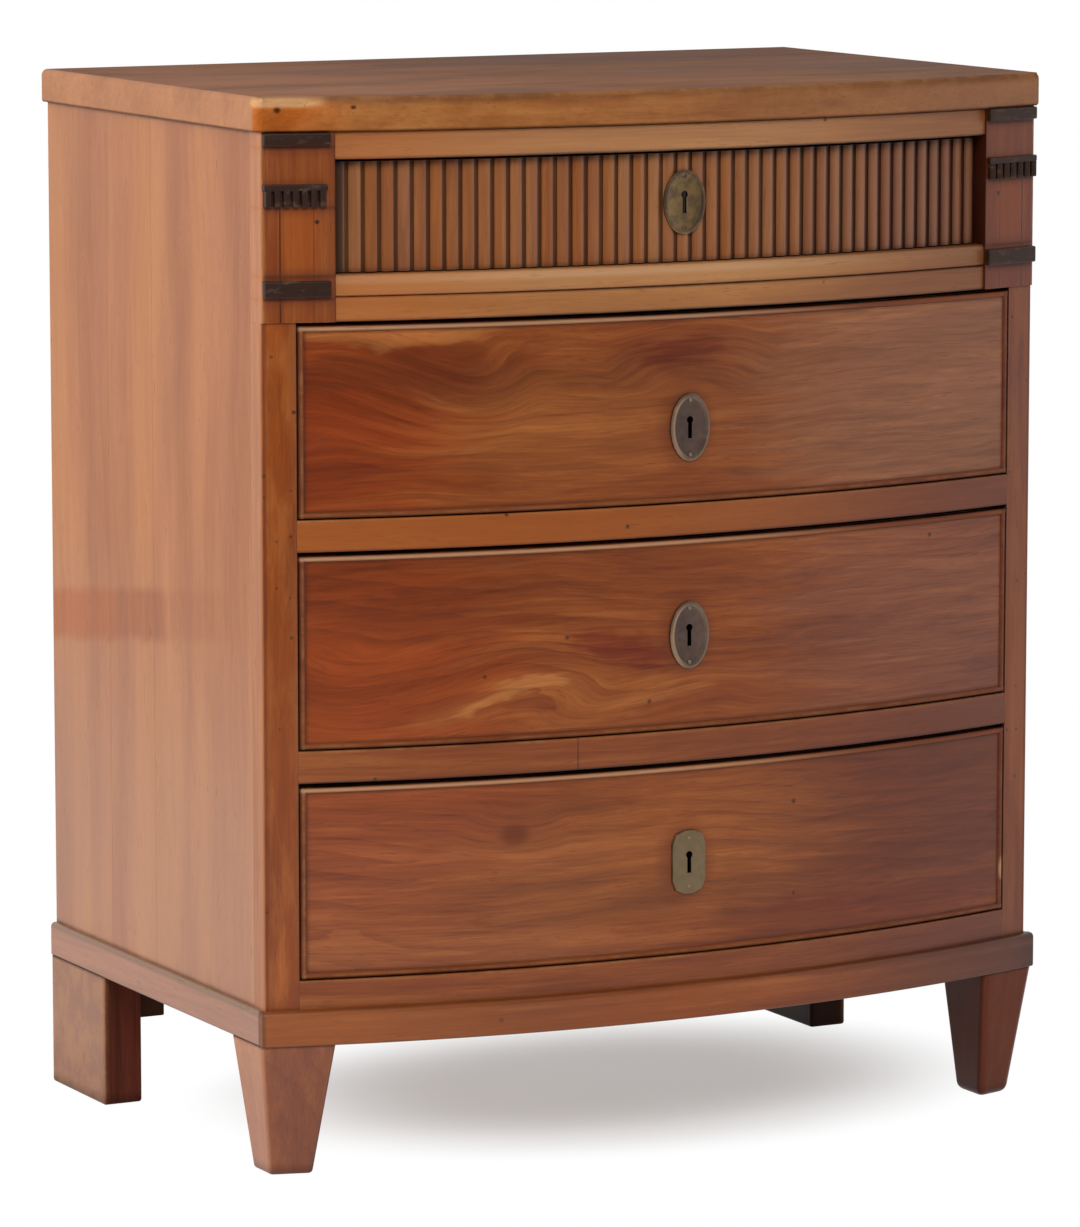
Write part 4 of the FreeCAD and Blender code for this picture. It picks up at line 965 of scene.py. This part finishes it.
class CHEST_OT_feet(bpy.types.Operator):
    """Model the tapered front feet, the straight rear feet and their glue blocks"""

    bl_idname = "chest.feet"
    bl_label = "Feet"

    def execute(self, context):
        for side, sign in SIDES:
            self.front_foot("front_%s_foot" % side, side, sign)
            self.rear_foot("rear_%s_foot" % side, side, sign)
        self.glue_blocks()
        return {"FINISHED"}

    def front_foot(self, node, side, sign):
        low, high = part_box(node)
        inner, outer = sorted((low.x, high.x), key=abs)
        foot = block("foot_front_" + side, (low.x, FOOT_FRONT, low.z), high)
        back, forward = FOOT_TAPER[side]
        for x, level, front, shift in (
            (outer, high.z, True, (0, FOOT_SHOULDER, 0)),
            (outer, low.z, True, (-sign * SOLE_OUTER[0], SOLE_OUTER[1] + back, 0)),
            (inner, low.z, True, (sign * SOLE_INNER[0], SOLE_INNER[1] + back, 0)),
            (outer, low.z, False, (-sign * SOLE_OUTER[0], -forward, 0)),
            (inner, low.z, False, (sign * SOLE_INNER[0], -forward, 0)),
        ):
            pick(foot, "verts", lambda vert: (
                abs(vert.co.x - x) < NEAR and abs(vert.co.z - level) < NEAR and (vert.co.y < FOOT_MIDDLE) == front))
            bpy.ops.transform.translate(value=shift)
            leave()
        ease(foot, 0.003 if sign < 0 else 0.0065, 4, lambda edge: not at_level(edge, high.z))
        wood = Wood(node + "_finish", "front", "z", 20 + sign, pith=(0.2, 0.3), coat=0.0,
                    specular=0.3 if sign < 0 else 0.1)
        wood.tone(0.3, "faded")
        down = PLINTH_LOW.z - wood.z
        outside = wood.fade(sign * wood.x + down * 0.144, 0.339, 0.3405)
        inside = wood.fade(sign * wood.x - down * 0.077, 0.2885, 0.2864)
        # painted shade: the right foot darker all over, and each foot's inner face darker
        if sign > 0:
            wood.layers((0.45, "dark"), (0.3, "front_red"))
        wood.layers((inside * 0.65, "dark"), (outside, wood.toned("side")), (outside * 0.3, "faded"))
        self.weather(wood, sign)
        settle(foot, node, wood.done())

    def rear_foot(self, node, side, sign):
        low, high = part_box(node)
        foot = block("foot_rear_" + side, low, high)
        ease(foot, 0.0025, 3, lambda edge: not at_level(edge, high.z))
        wood = Wood(node + "_finish", "side", "z", 24 + sign, pith=(0.2, 0.3), coat=0.0, specular=0.06)
        outside = wood.fade(sign * wood.x, 0.339, 0.3405)
        # painted shade: every face but the outer one dark, and the right foot's nearly black
        inner = ("dark", "plum", "plum") if sign < 0 else ("gap", "grime", "grime")
        wood.layers(
            (outside * 0.88, "faded"), (outside * 0.2, "dust"), (outside * wood.fade(wood.z, 0.05, 0.0) * 0.3, "plum"),
            (0.96 * (1.0 - outside), wood.toned(inner)),
        )
        self.weather(wood, sign)
        settle(foot, node, wood.done())

    def glue_blocks(self):
        """The blocks behind the feet, the front ones cut short."""
        low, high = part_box("foot_glue_blocks")
        made = []
        for side, sign in SIDES:
            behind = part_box("front_%s_foot" % side)[1]
            rear = min(abs(corner.x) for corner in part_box("rear_%s_foot" % side))
            for outside, front, back, under in (
                (HALF_OPENING, behind.y, behind.y + GLUE_WIDE, behind.z - GLUE_SHORT),
                (rear, high.y - GLUE_LONG, high.y, low.z),
            ):
                left, right = sorted((sign * (outside - GLUE_WIDE), sign * outside))
                lump = block("glue_block", (left, front, under), (right, back, high.z))
                ease(lump, 0.0012, 2, lambda edge: at_level(edge, under) or upright(edge))
                made.append(lump)
        wood = Wood("glue_block_finish", "pale", "y", 66, roughness=0.7, coat=0.0, specular=0.1)
        # painted shade: the glue blocks, deep under the case, nearly black
        wood.tone(0.93, "grime")
        wood.specks(40, 0.1, 0.4)
        settle(join("glue_blocks", made), "foot_glue_blocks", wood.done(0.4))

    def weather(self, wood, sign):
        wood.rub(sign * wood.x, PLINTH_HIGH.x, 0.006, 0.25)
        wood.soil(wood.z, 0.0, 0.012, 0.55)
        wood.soil(wood.z, PLINTH_LOW.z, 0.0025, 0.7)
        wood.specks(42, 0.1)


# Drawers

class CHEST_OT_beads(bpy.types.Operator):
    """Model the beads round the three deep drawers and finish their fronts"""

    bl_idname = "chest.beads"
    bl_label = "Drawer fronts and beads"

    def execute(self, context):
        sizes = context.scene.chest_sizes
        wide, deep, nose, short = sizes.bead_width, 0.006, 0.0022, 0.0004
        for number, drawer in enumerate(DEEP_DRAWERS):
            low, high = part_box(drawer + "_drawer_front")
            strips = []
            for floor in (low.z, high.z - wide):
                strips.append(bowed_strip("bead", BEAD_CREST, deep, low.x + short, high.x - short, floor, floor + wide))
                ease(strips[-1], nose, 4, along_bow(BEAD_CREST))
            for left in (low.x, high.x - wide):
                strips.append(bowed_strip("bead", BEAD_CREST, deep, left, left + wide, low.z + short, high.z - short))
                ease(strips[-1], nose, 4, lambda edge: on_bow(edge, BEAD_CREST) and upright(edge))
            beads = join(drawer + "_bead_frame", strips)
            finish = self.bead_finish(drawer, low, high, 30 + number)
            settle(beads, drawer + "_drawer_beads", finish, drawer + "_drawer")
            dress(drawer + "_drawer_front", self.front_finish(drawer, low, high))
        return {"FINISHED"}

    def bead_finish(self, drawer, low, high, seed):
        wood = Wood(drawer + "_bead_finish", "front", "x", seed, pith=(0.3, 0.3), sway=0.01, bowed=True,
                    coat=0.0, specular=0.15)
        crest = 0.0026
        left = wood.fade(wood.x, 0.2, -0.02)
        # painted highlight: the top bead's crest paler towards the left; painted shade: the right bead and the right
        # half of the bottom bead more purple; the bottom and left beads are also darker
        wood.layers(
            (0.35, "plum"), (wood.near(wood.z, low.z, 0.006) * 0.35, "dark"),
            (wood.near(wood.x, low.x, 0.006) * 0.3, "dark"),
            (wood.near(wood.z, high.z - crest, 0.0024) * (0.05 + 0.6 * left), "cream"),
            (wood.near(wood.x, high.x - crest, 0.004) * 0.6, "plum"),
            (wood.near(wood.z, low.z + crest, 0.004) * (1.0 - left) * 0.5, "plum"),
        )
        # painted highlight, with some wear, along the crests of the left and bottom beads, and painted sheen on the
        # right bead's crest
        wood.rub(wood.x, low.x + crest, 0.0018, 0.22, "cream")
        wood.rub(wood.z, low.z + crest, 0.0016, 0.22)
        wood.rub(wood.x, high.x - crest, 0.0022, 0.3, "faded")
        for value, edge in ((wood.z, low.z), (wood.x, low.x), (wood.x, high.x)):
            wood.soil(value, edge, 0.0016, 0.9)
        # painted shade: the black of the gap above the drawer, carried onto the top bead
        wood.soil(wood.z, high.z, 0.0014, 1.1, "gap")
        if drawer == "lower":
            wood.tone(wood.spot((0.3085, 0.187), 0.004, 0.012) * 0.8, "pale_light")
        return wood.done()

    def front_finish(self, drawer, low, high):
        figure = FIGURE[drawer]
        wood = Wood(drawer + "_front_finish", "front", "x", figure["seed"], streaks=figure["streaks"], rings=0.2,
                    spacing=0.012, sway=0.05, lean=0.1, pith=(-0.17, low.z + 0.03), clouds=0.4, fibres=0.6, coat=0.09,
                    specular=0.3, swirls=figure["swirls"], bowed=True)
        for shade, place, reach, slope, share in figure["patches"]:
            wood.tone(wood.patch(place, *reach, slope) * share, wood.shaded(shade))
        if drawer == "lower":
            wood.tone(wood.spot((-0.145, 0.257), 0.016, 0.011) * 0.75, "front_deep")
        # painted shade, with some dirt, in the quirk just inside the beads
        inset = 0.0055
        for value, start, end in ((wood.z, low.z, high.z), (wood.x, low.x, high.x)):
            for edge in (start + inset, end - inset):
                wood.soil(value, edge, 0.0022, 0.4)
        centre = plate_middle(drawer)
        wood.tone(wood.spot((centre.x - 0.003, centre.z), 0.03, 0.04) * 0.65, "front_deep")
        wood.keyhole(drawer)
        wood.specks(30, 0.08)
        return wood.done()


# Where the drawer fronts' figure turns, by place, reach, height and tilt,
# and their patches of colour, by shade, place, reach, slope and share
FIGURE = {
    "upper": {
        "seed": 40, "streaks": 0.9,
        "swirls": (((-0.24, 0.595), (0.12, 0.06), 0.0, 0.35), ((0.0, 0.62), (0.08, 0.035), -0.012, 0.0)),
        "patches": (
            ("ember", (-0.30, 0.575), (0.13, 0.12), 0.0, 0.7),
            ("front_red", (-0.29, 0.565), (0.08, 0.08), 0.0, 0.4),
            ("front_deep", (-0.215, 0.612), (0.10, 0.026), -0.05, 0.7),
            ("front_red", (-0.005, 0.621), (0.045, 0.02), 0.0, 0.65),
            ("gold_mid", (-0.09, 0.57), (0.14, 0.06), 0.0, 0.35),
            ("gold_light", (-0.24, 0.640), (0.1, 0.010), 0.0, 0.4),
            # painted sheen: the right end greyer
            ("faded", (0.26, 0.58), (0.22, 0.16), 0.0, 0.36),
            ("gold_light", (0.2, 0.58), (0.2, 0.12), 0.0, 0.22),
        ),
    },
    "middle": {
        "seed": 41, "streaks": 0.9,
        "swirls": (((-0.2, 0.375), (0.14, 0.05), 0.0, -0.25), ((-0.03, 0.355), (0.10, 0.03), 0.0, -0.14)),
        "patches": (
            ("ember", (-0.27, 0.40), (0.15, 0.12), 0.0, 0.75),
            ("front_deep", (-0.22, 0.425), (0.12, 0.024), 0.0, 0.6),
            ("front_red", (-0.05, 0.393), (0.045, 0.014), -0.3, 0.75),
            ("gold_light", (-0.148, 0.365), (0.034, 0.008), 0.28, 0.5),
            ("gold_mid", (-0.19, 0.355), (0.08, 0.012), 0.25, 0.28),
            ("gold_mid", (-0.02, 0.358), (0.07, 0.010), 0.2, 0.35),
            # painted sheen: the right end greyer
            ("faded", (0.24, 0.40), (0.19, 0.12), 0.0, 0.24),
            ("front_deep", (-0.29, 0.40), (0.14, 0.1), 0.0, 0.2),
        ),
    },
    "lower": {
        "seed": 42, "streaks": 0.85,
        "swirls": (((-0.145, 0.257), (0.05, 0.03), 0.008, 0.0),),
        "patches": (
            ("ember", (-0.25, 0.27), (0.16, 0.1), 0.0, 0.45),
            ("faded", (-0.24, 0.2), (0.24, 0.12), 0.0, 0.12),
            ("gold_mid", (-0.1, 0.21), (0.2, 0.06), 0.0, 0.2),
            # painted shade: the right end darker and more purple
            ("plum", (0.25, 0.24), (0.26, 0.13), 0.0, 0.65),
            ("front_light", (-0.02, 0.24), (0.2, 0.09), 0.0, 0.25),
            ("front_red", (0.14, 0.172), (0.22, 0.022), 0.0, 0.35),
            ("front_deep", (-0.17, 0.19), (0.02, 0.008), 0.0, 0.3),
        ),
    },
}


class CHEST_OT_reeds(bpy.types.Operator):
    """Model the reeded facing of the frieze drawer"""

    bl_idname = "chest.reeds"
    bl_label = "Reeded frieze"

    def execute(self, context):
        sizes = context.scene.chest_sizes
        low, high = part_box("reeded_facing")
        crest = AXIS_Y - low.y
        back = AXIS_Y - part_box("frieze_drawer_front")[0].y
        step = 2 * math.asin(high.x / crest) / sizes.reeds
        half_reed = (step * crest - sizes.reed_gap) / 2
        bend = (half_reed ** 2 + sizes.reed_crown ** 2) / (2 * sizes.reed_crown)
        let_go()
        bpy.ops.mesh.primitive_circle_add(vertices=160, radius=bend, fill_type="NGON",
                                          location=(0, AXIS_Y - crest + bend, low.z))
        reed = named("reeded_front")
        edit(reed)
        cut_behind(AXIS_Y - crest + sizes.reed_crown)
        raise_up(high.z - low.z)
        turn = (sizes.reeds - 1) * step
        select_all()
        bpy.ops.transform.rotate(value=-turn / 2, orient_axis="Z", center_override=(0, AXIS_Y, 0))
        bpy.ops.mesh.spin(steps=sizes.reeds - 1, dupli=True, angle=turn, center=(0, AXIS_Y, 0), axis=(0, 0, 1))
        leave()
        self.centre(reed)
        root = back + sizes.reed_backing
        backing = bowed_strip("reed_backing", root, sizes.reed_backing, low.x, high.x, low.z, high.z)
        finish = self.finish(low, high, crest, step, sizes.reeds)
        settle(join("reeded_front", [reed, backing]), "reeded_facing", finish, "frieze_drawer")
        dress("frieze_drawer_front", Wood("frieze_front_finish", "front", "x", 52).done())
        return {"FINISHED"}

    def centre(self, reed):
        """Stop if the row of reeds isn't in the middle."""
        places = [vert.co.x for vert in reed.data.vertices]
        if abs(min(places) + max(places)) > 0.001:
            raise RuntimeError("the reeds run from %.4f to %.4f" % (min(places), max(places)))

    def finish(self, low, high, crest, step, reeds):
        wood = Wood("reed_finish", "gold", "z", 50, pith=(0.2, 0.2), sway=0.01, clouds=0.3)
        bearing = wood.x.sum("ARCTAN2", wood.x, AXIS_Y - wood.y)
        place = bearing / step + 0.5 * reeds
        number = place.floor()
        chance = wood.add("TexWhiteNoise", {"noise_dimensions": "1D"}, {"W": number}, "Value")
        wood.layers(
            (chance * 0.35, "front_mid"), ((1.0 - chance) * 0.2, "faded"),
            # painted shadow: the first reed, beside the left block, dark
            (wood.fade(wood.x, -0.2685, -0.2715) * 0.85, "gap"),
        )
        # painted shade at the right end of the frieze opening
        wood.soil(wood.x, HALF_FRIEZE, 0.004, 1.0, "gap")
        # painted shade and sheen: the reeds darker, more purple and greyer towards the right; painted shade in the
        # grooves between the reeds
        wood.layers(
            (wood.fade(wood.x, 0.0, 0.28) * 0.35, "plum"), (wood.fade(wood.x, 0.0, 0.28) * 0.25, "faded"),
            (wood.fade(wood.radius, crest - 0.0007, crest - 0.0042) * 0.95, "grime"),
        )
        # painted shade on the reeds' sides towards the right
        round_side = wood.fade(wood.radius, crest - 0.0001, crest - 0.0014)
        wood.tone(round_side * wood.fade(wood.x, -0.05, 0.2) * 0.45, "dark")
        # painted shadow under the top rail, and darker along the bottom
        wood.soil(wood.z, high.z, 0.006, 0.6)
        wood.soil(wood.z, low.z, 0.004, 0.5)
        wood.keyhole("frieze")
        return wood.done()


class CHEST_OT_plates(bpy.types.Operator):
    """Model the lock plates with their keyholes and pins"""

    bl_idname = "chest.plates"
    bl_label = "Lock plates"

    def execute(self, context):
        sizes = context.scene.chest_sizes
        for drawer in DRAWERS:
            low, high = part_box(drawer + "_lock_plate")
            plate = self.oblong(sizes, low, high) if drawer == "lower" else self.oval(sizes, low, high)
            self.keyhole(plate, low, high)
            shares = (0.88, 0.12) if drawer == "lower" else (0.9, 0.1)
            pins = [self.pin(sizes, low, high, share) for share in shares]
            plate = join(drawer + "_keyplate", [plate] + pins)
            finish = self.finish(drawer, low, high)
            settle(plate, drawer + "_lock_plate", finish, drawer + "_drawer")
        return {"FINISHED"}

    def oval(self, sizes, low, high):
        """A hollowed oval plate with a raised rim."""
        let_go()
        centre = (low + high) / 2
        bpy.ops.mesh.primitive_circle_add(vertices=72, radius=0.5, fill_type="NGON",
                                          location=(centre.x, high.y, centre.z), rotation=(math.pi / 2, 0, 0))
        plate = named("plate", (high.x - low.x, high.z - low.z, 1))
        edit(plate)
        thick, rim, dish = low.y - high.y, sizes.plate_rim, sizes.plate_dish
        draw_out(0, thick * 0.8, 0)
        for width, sink in ((rim * 0.5, thick * 0.2), (rim * 0.5, 0), (rim * 0.6, dish * 0.6), (0.004, dish * 0.4)):
            bpy.ops.mesh.inset(thickness=width, depth=0)
            bpy.ops.transform.translate(value=(0, sink, 0))
        leave()
        return plate

    def oblong(self, sizes, low, high):
        """A flat oblong plate with cut corners and bevelled sides."""
        plate = block("plate", low, high)
        ease(plate, 0.0105, 2, lambda edge: abs(edge.verts[0].co.y - edge.verts[1].co.y) > 0.001)
        ease(plate, 0.0012, 2, lambda edge: at_depth(edge, low.y))
        return plate

    def keyhole(self, plate, low, high):
        """Cut a round head over a straight slot."""
        centre = (low + high) / 2
        let_go()
        bpy.ops.mesh.primitive_cylinder_add(vertices=32, radius=0.0028, depth=0.02, rotation=(math.pi / 2, 0, 0),
                                            location=(centre.x, centre.y, centre.z + 0.0057))
        head = named("keyhole_head")
        half, spare = 0.0017, 0.01
        slot = block("keyhole_slot", (centre.x - half, low.y - spare, centre.z - 0.0085),
                     (centre.x + half, high.y + spare, centre.z + 0.0055))
        cut(plate, head)
        cut(plate, slot)

    def pin(self, sizes, low, high, share):
        """A pin with a domed head, at a share of the plate's height."""
        let_go()
        place = ((low.x + high.x) / 2, low.y + 0.0016, low.z + (high.z - low.z) * share)
        bpy.ops.mesh.primitive_uv_sphere_add(segments=20, ring_count=10, radius=sizes.pin_radius, location=place)
        pin = named("pin")
        edit(pin)
        cut_behind(low.y + 0.0018, True)
        leave()
        return pin

    def finish(self, drawer, low, high):
        finish = Finish(drawer + "_plate_finish", 0.35)
        finish.give("Metallic", 1.0)
        x, y = finish.parts(finish.place)[:2]
        dull, clean = {
            "frieze": ("brass_green", "brass_dull"), "lower": ("brass_olive", "brass"),
        }.get(drawer, ("brass_dull", "brass"))
        proud = finish.fade(y, low.y + 0.0007, low.y + 0.0001)
        blotch = finish.fade(finish.cloud(finish.place, (160, 160, 160), (3, 5, 1), 4.0, 0.65), 0.4, 0.66)
        pins = finish.fade(y, low.y, low.y - 0.0002)
        share = (proud * 0.35 + blotch * 0.3 + pins).least(1.0)
        metal = finish.blend(share, dull, clean)
        right = finish.fade(x, low.x, high.x)
        # painted reflection: the rims paler on the left, the dishes darker on the left and greyer on the right
        if drawer in ("upper", "middle"):
            metal = finish.blend(proud * finish.fade(right, 0.45, 0.05) * 0.35, metal, "cream")
            metal = finish.blend(right * 0.25, metal, "faded")
            metal = finish.blend((1.0 - right) * (1.0 - proud) * 0.3, metal, "iron")
        if drawer == "frieze":
            tarnish = finish.fade(finish.cloud(finish.place, (120, 120, 90), (7, 2, 3), 3.0, 0.6), 0.46, 0.6)
            metal = finish.blend(tarnish * 0.45, metal, "iron")
            # painted shade: the frieze plate darker towards the right
            metal = finish.blend(right * 0.25, metal, "dark")
        finish.give("Base Color", metal)
        finish.give("Roughness", 0.5 - proud * 0.12 + blotch * 0.1)
        scratch = finish.cloud(finish.place, (900, 900, 120), (0, 0, 0), 2.0, 0.6)
        finish.bump(scratch * 0.3 + blotch * 0.4, 0.3, 0.0003)
        return finish.material


# Bare boards and the way their grain runs
BARE = {"bottom_board": "x", "back_boards": "x", "drawer_runners": "y", "frieze_guides": "y", "drawer_stops": "x"}
BACK_BOARDS = 5


class CHEST_OT_carcass(bpy.types.Operator):
    """Finish the nodes that keep their shape: the carcass, the drawer boxes and the locks"""

    bl_idname = "chest.carcass"
    bl_label = "Carcass and drawer boxes"

    def execute(self, context):
        for side, seed in (("left", 60), ("right", 61)):
            dress(side + "_side_panel", self.side_finish(side, seed))
        for number, (node, grain) in enumerate(BARE.items()):
            dress(node, self.bare(node, grain, 64 + number))
        for number, drawer in enumerate(DRAWERS):
            for part, grain in (("sides", "y"), ("back", "x"), ("bottom", "x")):
                node = "%s_drawer_%s" % (drawer, part)
                dress(node, self.bare(node, grain, 72 + 3 * number + len(part)))
        brass, iron = self.lock_finish()
        for drawer in DRAWERS:
            dress(drawer + "_lock_case", brass)
            dress(drawer + "_lock_bolt", iron)
        return {"FINISHED"}

    def side_finish(self, side, seed):
        low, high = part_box(side + "_side_panel")
        wood = Wood(side + "_side_finish", "side", "z", seed, streaks=0.85, rings=0.04, sway=0.08,
                    pith=(0.05, 0.3), fibres=0.25, clouds=0.5, coat=0.05, specular=0.22)
        column = wood.fade(wood.cloud(wood.place, (3, 11, 1.3), (1, 4, 2), 3.0, 0.55), 0.4, 0.64)
        wood.layers(
            (column * 0.4, "gold_light"), ((1.0 - column) * 0.22, "gold_deep"),
            (wood.fade(wood.z, 0.2, 0.45) * 0.18, "gold_deep"), (wood.fade(wood.z, 0.5, 0.2) * 0.35, "faded"),
            (wood.fade(wood.z, 0.5, 0.2) * 0.1, "cream"),
        )
        smudge = wood.fade(wood.cloud(wood.place, (9, 9, 6), (6, 1, 3), 3.0, 0.6), 0.58, 0.7)
        wood.tone(smudge * wood.fade(wood.z, 0.36, 0.2) * 0.3, "dust")
        if side == "left":
            level = wood.fade(abs(wood.z - 0.411 + wood.y * 0.12 + wood.drift * 0.01), 0.025, 0.014)
            band = level * (0.45 * wood.fade(wood.y, -0.15, -0.06) + 0.55 * wood.fade(wood.y, 0.0, 0.02))
            wood.layers(
                (band * 0.58, wood.shaded("front_mid")), (band * wood.fade(wood.y, 0.08, 0.19) * 0.2, "amber"),
            )
        wood.soil(wood.y, 0.03, 0.0012, 0.5, "side_deep")
        wood.soil(wood.y, 0.115, 0.0015, 0.4, "side_deep")
        wood.soil(wood.z, PLINTH_HIGH.z, 0.004, 0.5)
        wood.soil(wood.z, high.z, 0.003, 0.5)
        wood.soil(wood.y, low.y, 0.0008, 0.35)
        wood.specks(26, 0.08, 0.4)
        return wood.done()

    def bare(self, node, grain, seed):
        low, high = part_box(node)
        wood = Wood(node + "_finish", "pale", grain, seed, streaks=0.5, fibres=0.6, clouds=0.35, rings=0.4,
                    spacing=0.007, pith=(low.y - 0.12, low.z - 0.15), sway=0.03, roughness=0.7, coat=0.0, specular=0.3)
        if node == "back_boards":
            number = (wood.z - low.z) / ((high.z - low.z) / BACK_BOARDS)
            chance = wood.add("TexWhiteNoise", {"noise_dimensions": "1D"}, {"W": number.floor()}, "Value")
            wood.layers(
                (chance * 0.5, wood.toned(("dark", "pale_deep", "pale_mid"))),
                (wood.fade(wood.mist, 0.45, 0.75) * 0.35, "dust"),
            )
        wood.specks(40, 0.1, 0.4)
        return wood.done(0.4)

    def lock_finish(self):
        made = []
        for name, clean, dull in (("lock_brass", "brass", "brass_dull"), ("lock_iron", "iron", "rust")):
            finish = Finish(name + "_finish", 0.45)
            finish.give("Metallic", 1.0)
            blotch = finish.fade(finish.cloud(finish.place, (90, 90, 90), (0, 0, 0), 5.0, 0.65), 0.4, 0.7)
            finish.give("Base Color", finish.blend(blotch * 0.7, clean, dull))
            finish.give("Roughness", 0.35 + blotch * 0.35)
            finish.bump(blotch, 0.2, 0.0003)
            made.append(finish.material)
        return made


# Stage

LAMP_SIZE = 2.2
LAMP_AIM = Vector((0, 0, 0.4))
FLOOR_COLOUR = (0.9, 0.85, 0.84)
WHITE = (1.0, 1.0, 1.0)


class CHEST_OT_stage(bpy.types.Operator):
    """Set up the camera, lamps, room light and floor"""

    bl_idname = "chest.stage"
    bl_label = "Stage"

    def execute(self, context):
        stage = context.scene.chest_stage
        context.scene.view_settings.view_transform = "Standard"
        self.camera(context, stage)
        self.lamp("left_lamp", stage.left_power, (-3.5, 0.5, 2.1))
        self.lamp("front_lamp", stage.front_power, (-2.2, -4.4, 3.6))
        self.room(context, stage)
        self.floor(stage)
        return {"FINISHED"}

    def camera(self, context, stage):
        data = bpy.data.cameras.new("photo_camera")
        data.lens = stage.lens
        data.sensor_width = 36
        data.clip_end = 100
        camera = bpy.data.objects.new("photo_camera", data)
        camera.location = stage.eye
        camera.rotation_euler = Vector(stage.aim).to_track_quat("-Z", "Y").to_euler()
        context.scene.collection.objects.link(camera)
        context.scene.camera = camera

    def lamp(self, name, power, place):
        data = bpy.data.lights.new(name, "AREA")
        data.energy = power
        data.size = LAMP_SIZE
        lamp = bpy.data.objects.new(name, data)
        lamp.location = place
        aim = LAMP_AIM - Vector(place)
        lamp.rotation_euler = aim.to_track_quat("-Z", "Y").to_euler()
        bpy.context.scene.collection.objects.link(lamp)

    def room(self, context, stage):
        """Light from all round: a bright backdrop and sides, a dim room behind the camera, white to the camera."""
        world = bpy.data.worlds.new("room")
        context.scene.world = world
        world.use_nodes = True
        nodes = Nodes(world.node_tree)
        backdrop = world.node_tree.nodes["Background"]
        nodes.feed(backdrop.inputs["Color"], WHITE)
        way = nodes.add("TexCoord", {}, {}, "Generated")
        behind = nodes.add("VectorMath", {"operation": "DOT_PRODUCT"}, {0: way, 1: stage.dim_side}, "Value")
        seen = nodes.add("LightPath", {}, {}, "Is Camera Ray")
        path = seen.socket.node.outputs
        mirrored = Amount(nodes, path["Is Glossy Ray"]).most(Amount(nodes, path["Is Transmission Ray"]))
        level = stage.room + (1.0 - stage.room) * mirrored
        light = level + (stage.dim_room - level) * nodes.fade(behind, -0.3, 0.7)
        nodes.feed(backdrop.inputs["Strength"], light + seen * (1.0 - light))

    def floor(self, stage):
        """A pale floor that keeps the shadow and fades to white, glowing to the camera and in reflections."""
        let_go()
        bpy.ops.mesh.primitive_circle_add(vertices=96, radius=stage.floor_radius, fill_type="NGON")
        floor = named("floor")
        finish = Finish("floor_finish", 0.9, 0.0, 0.0)
        finish.give("Base Color", FLOOR_COLOUR)
        x, y = finish.parts(finish.place)[:2]
        # painted light: the floor glows white beyond an ellipse round the chest's footprint, so the shadow shows only
        # inside it, and it glows at a share everywhere, which lightens the shadow
        across, along = (x - 0.05) / 0.36, (y - 0.02) / 0.27
        far = finish.fade(across * across + along * along, 0.1, 1.0)
        path = finish.add("LightPath", {}, {}, "Is Camera Ray")
        seen = path.most(Amount(finish, path.socket.node.outputs["Is Glossy Ray"]))
        white = finish.add("Emission", {}, {"Color": WHITE, "Strength": 1.0})
        share = stage.floor_glow + (1.0 - stage.floor_glow) * far
        mixed = finish.add("MixShader", {}, {0: share * seen, 1: Amount(finish, finish.shader.outputs[0]), 2: white})
        finish.feed(finish.tree.nodes["Material Output"].inputs["Surface"], mixed)
        floor.data.materials.append(finish.material)


OPERATORS = (
    CHEST_OT_top, CHEST_OT_rails, CHEST_OT_corners, CHEST_OT_plinth, CHEST_OT_feet, CHEST_OT_beads,
    CHEST_OT_reeds, CHEST_OT_plates, CHEST_OT_carcass, CHEST_OT_stage,
)


class CHEST_PT_sidebar(bpy.types.Panel):
    """The chest's pieces, sizes and colours"""

    bl_idname = "CHEST_PT_sidebar"
    bl_label = "Chest of drawers"
    bl_space_type = "VIEW_3D"
    bl_region_type = "UI"
    bl_category = "Chest"

    def draw(self, context):
        for operator in OPERATORS:
            self.layout.operator(operator.bl_idname)
        for group in (context.scene.chest_sizes, context.scene.chest_colours, context.scene.chest_stage):
            box = self.layout.box()
            for name in group.__annotations__:
                box.prop(group, name, text=name.replace("_", " ").capitalize())


GROUPS = {"chest_sizes": ChestSizes, "chest_colours": ChestColours, "chest_stage": ChestStage}


def register():
    for name, group in GROUPS.items():
        bpy.utils.register_class(group)
        setattr(bpy.types.Scene, name, PointerProperty(type=group))
    for kind in OPERATORS + (CHEST_PT_sidebar,):
        bpy.utils.register_class(kind)


def unregister():
    for kind in reversed(OPERATORS + (CHEST_PT_sidebar,)):
        bpy.utils.unregister_class(kind)
    for name, group in GROUPS.items():
        delattr(bpy.types.Scene, name)
        bpy.utils.unregister_class(group)


def main():
    register()
    bpy.ops.chest.top()
    bpy.ops.chest.rails()
    bpy.ops.chest.corners()
    bpy.ops.chest.plinth()
    bpy.ops.chest.feet()
    bpy.ops.chest.beads()
    bpy.ops.chest.reeds()
    bpy.ops.chest.plates()
    bpy.ops.chest.carcass()
    bpy.ops.chest.stage()
    let_go()


if __name__ == "__main__":
    main()
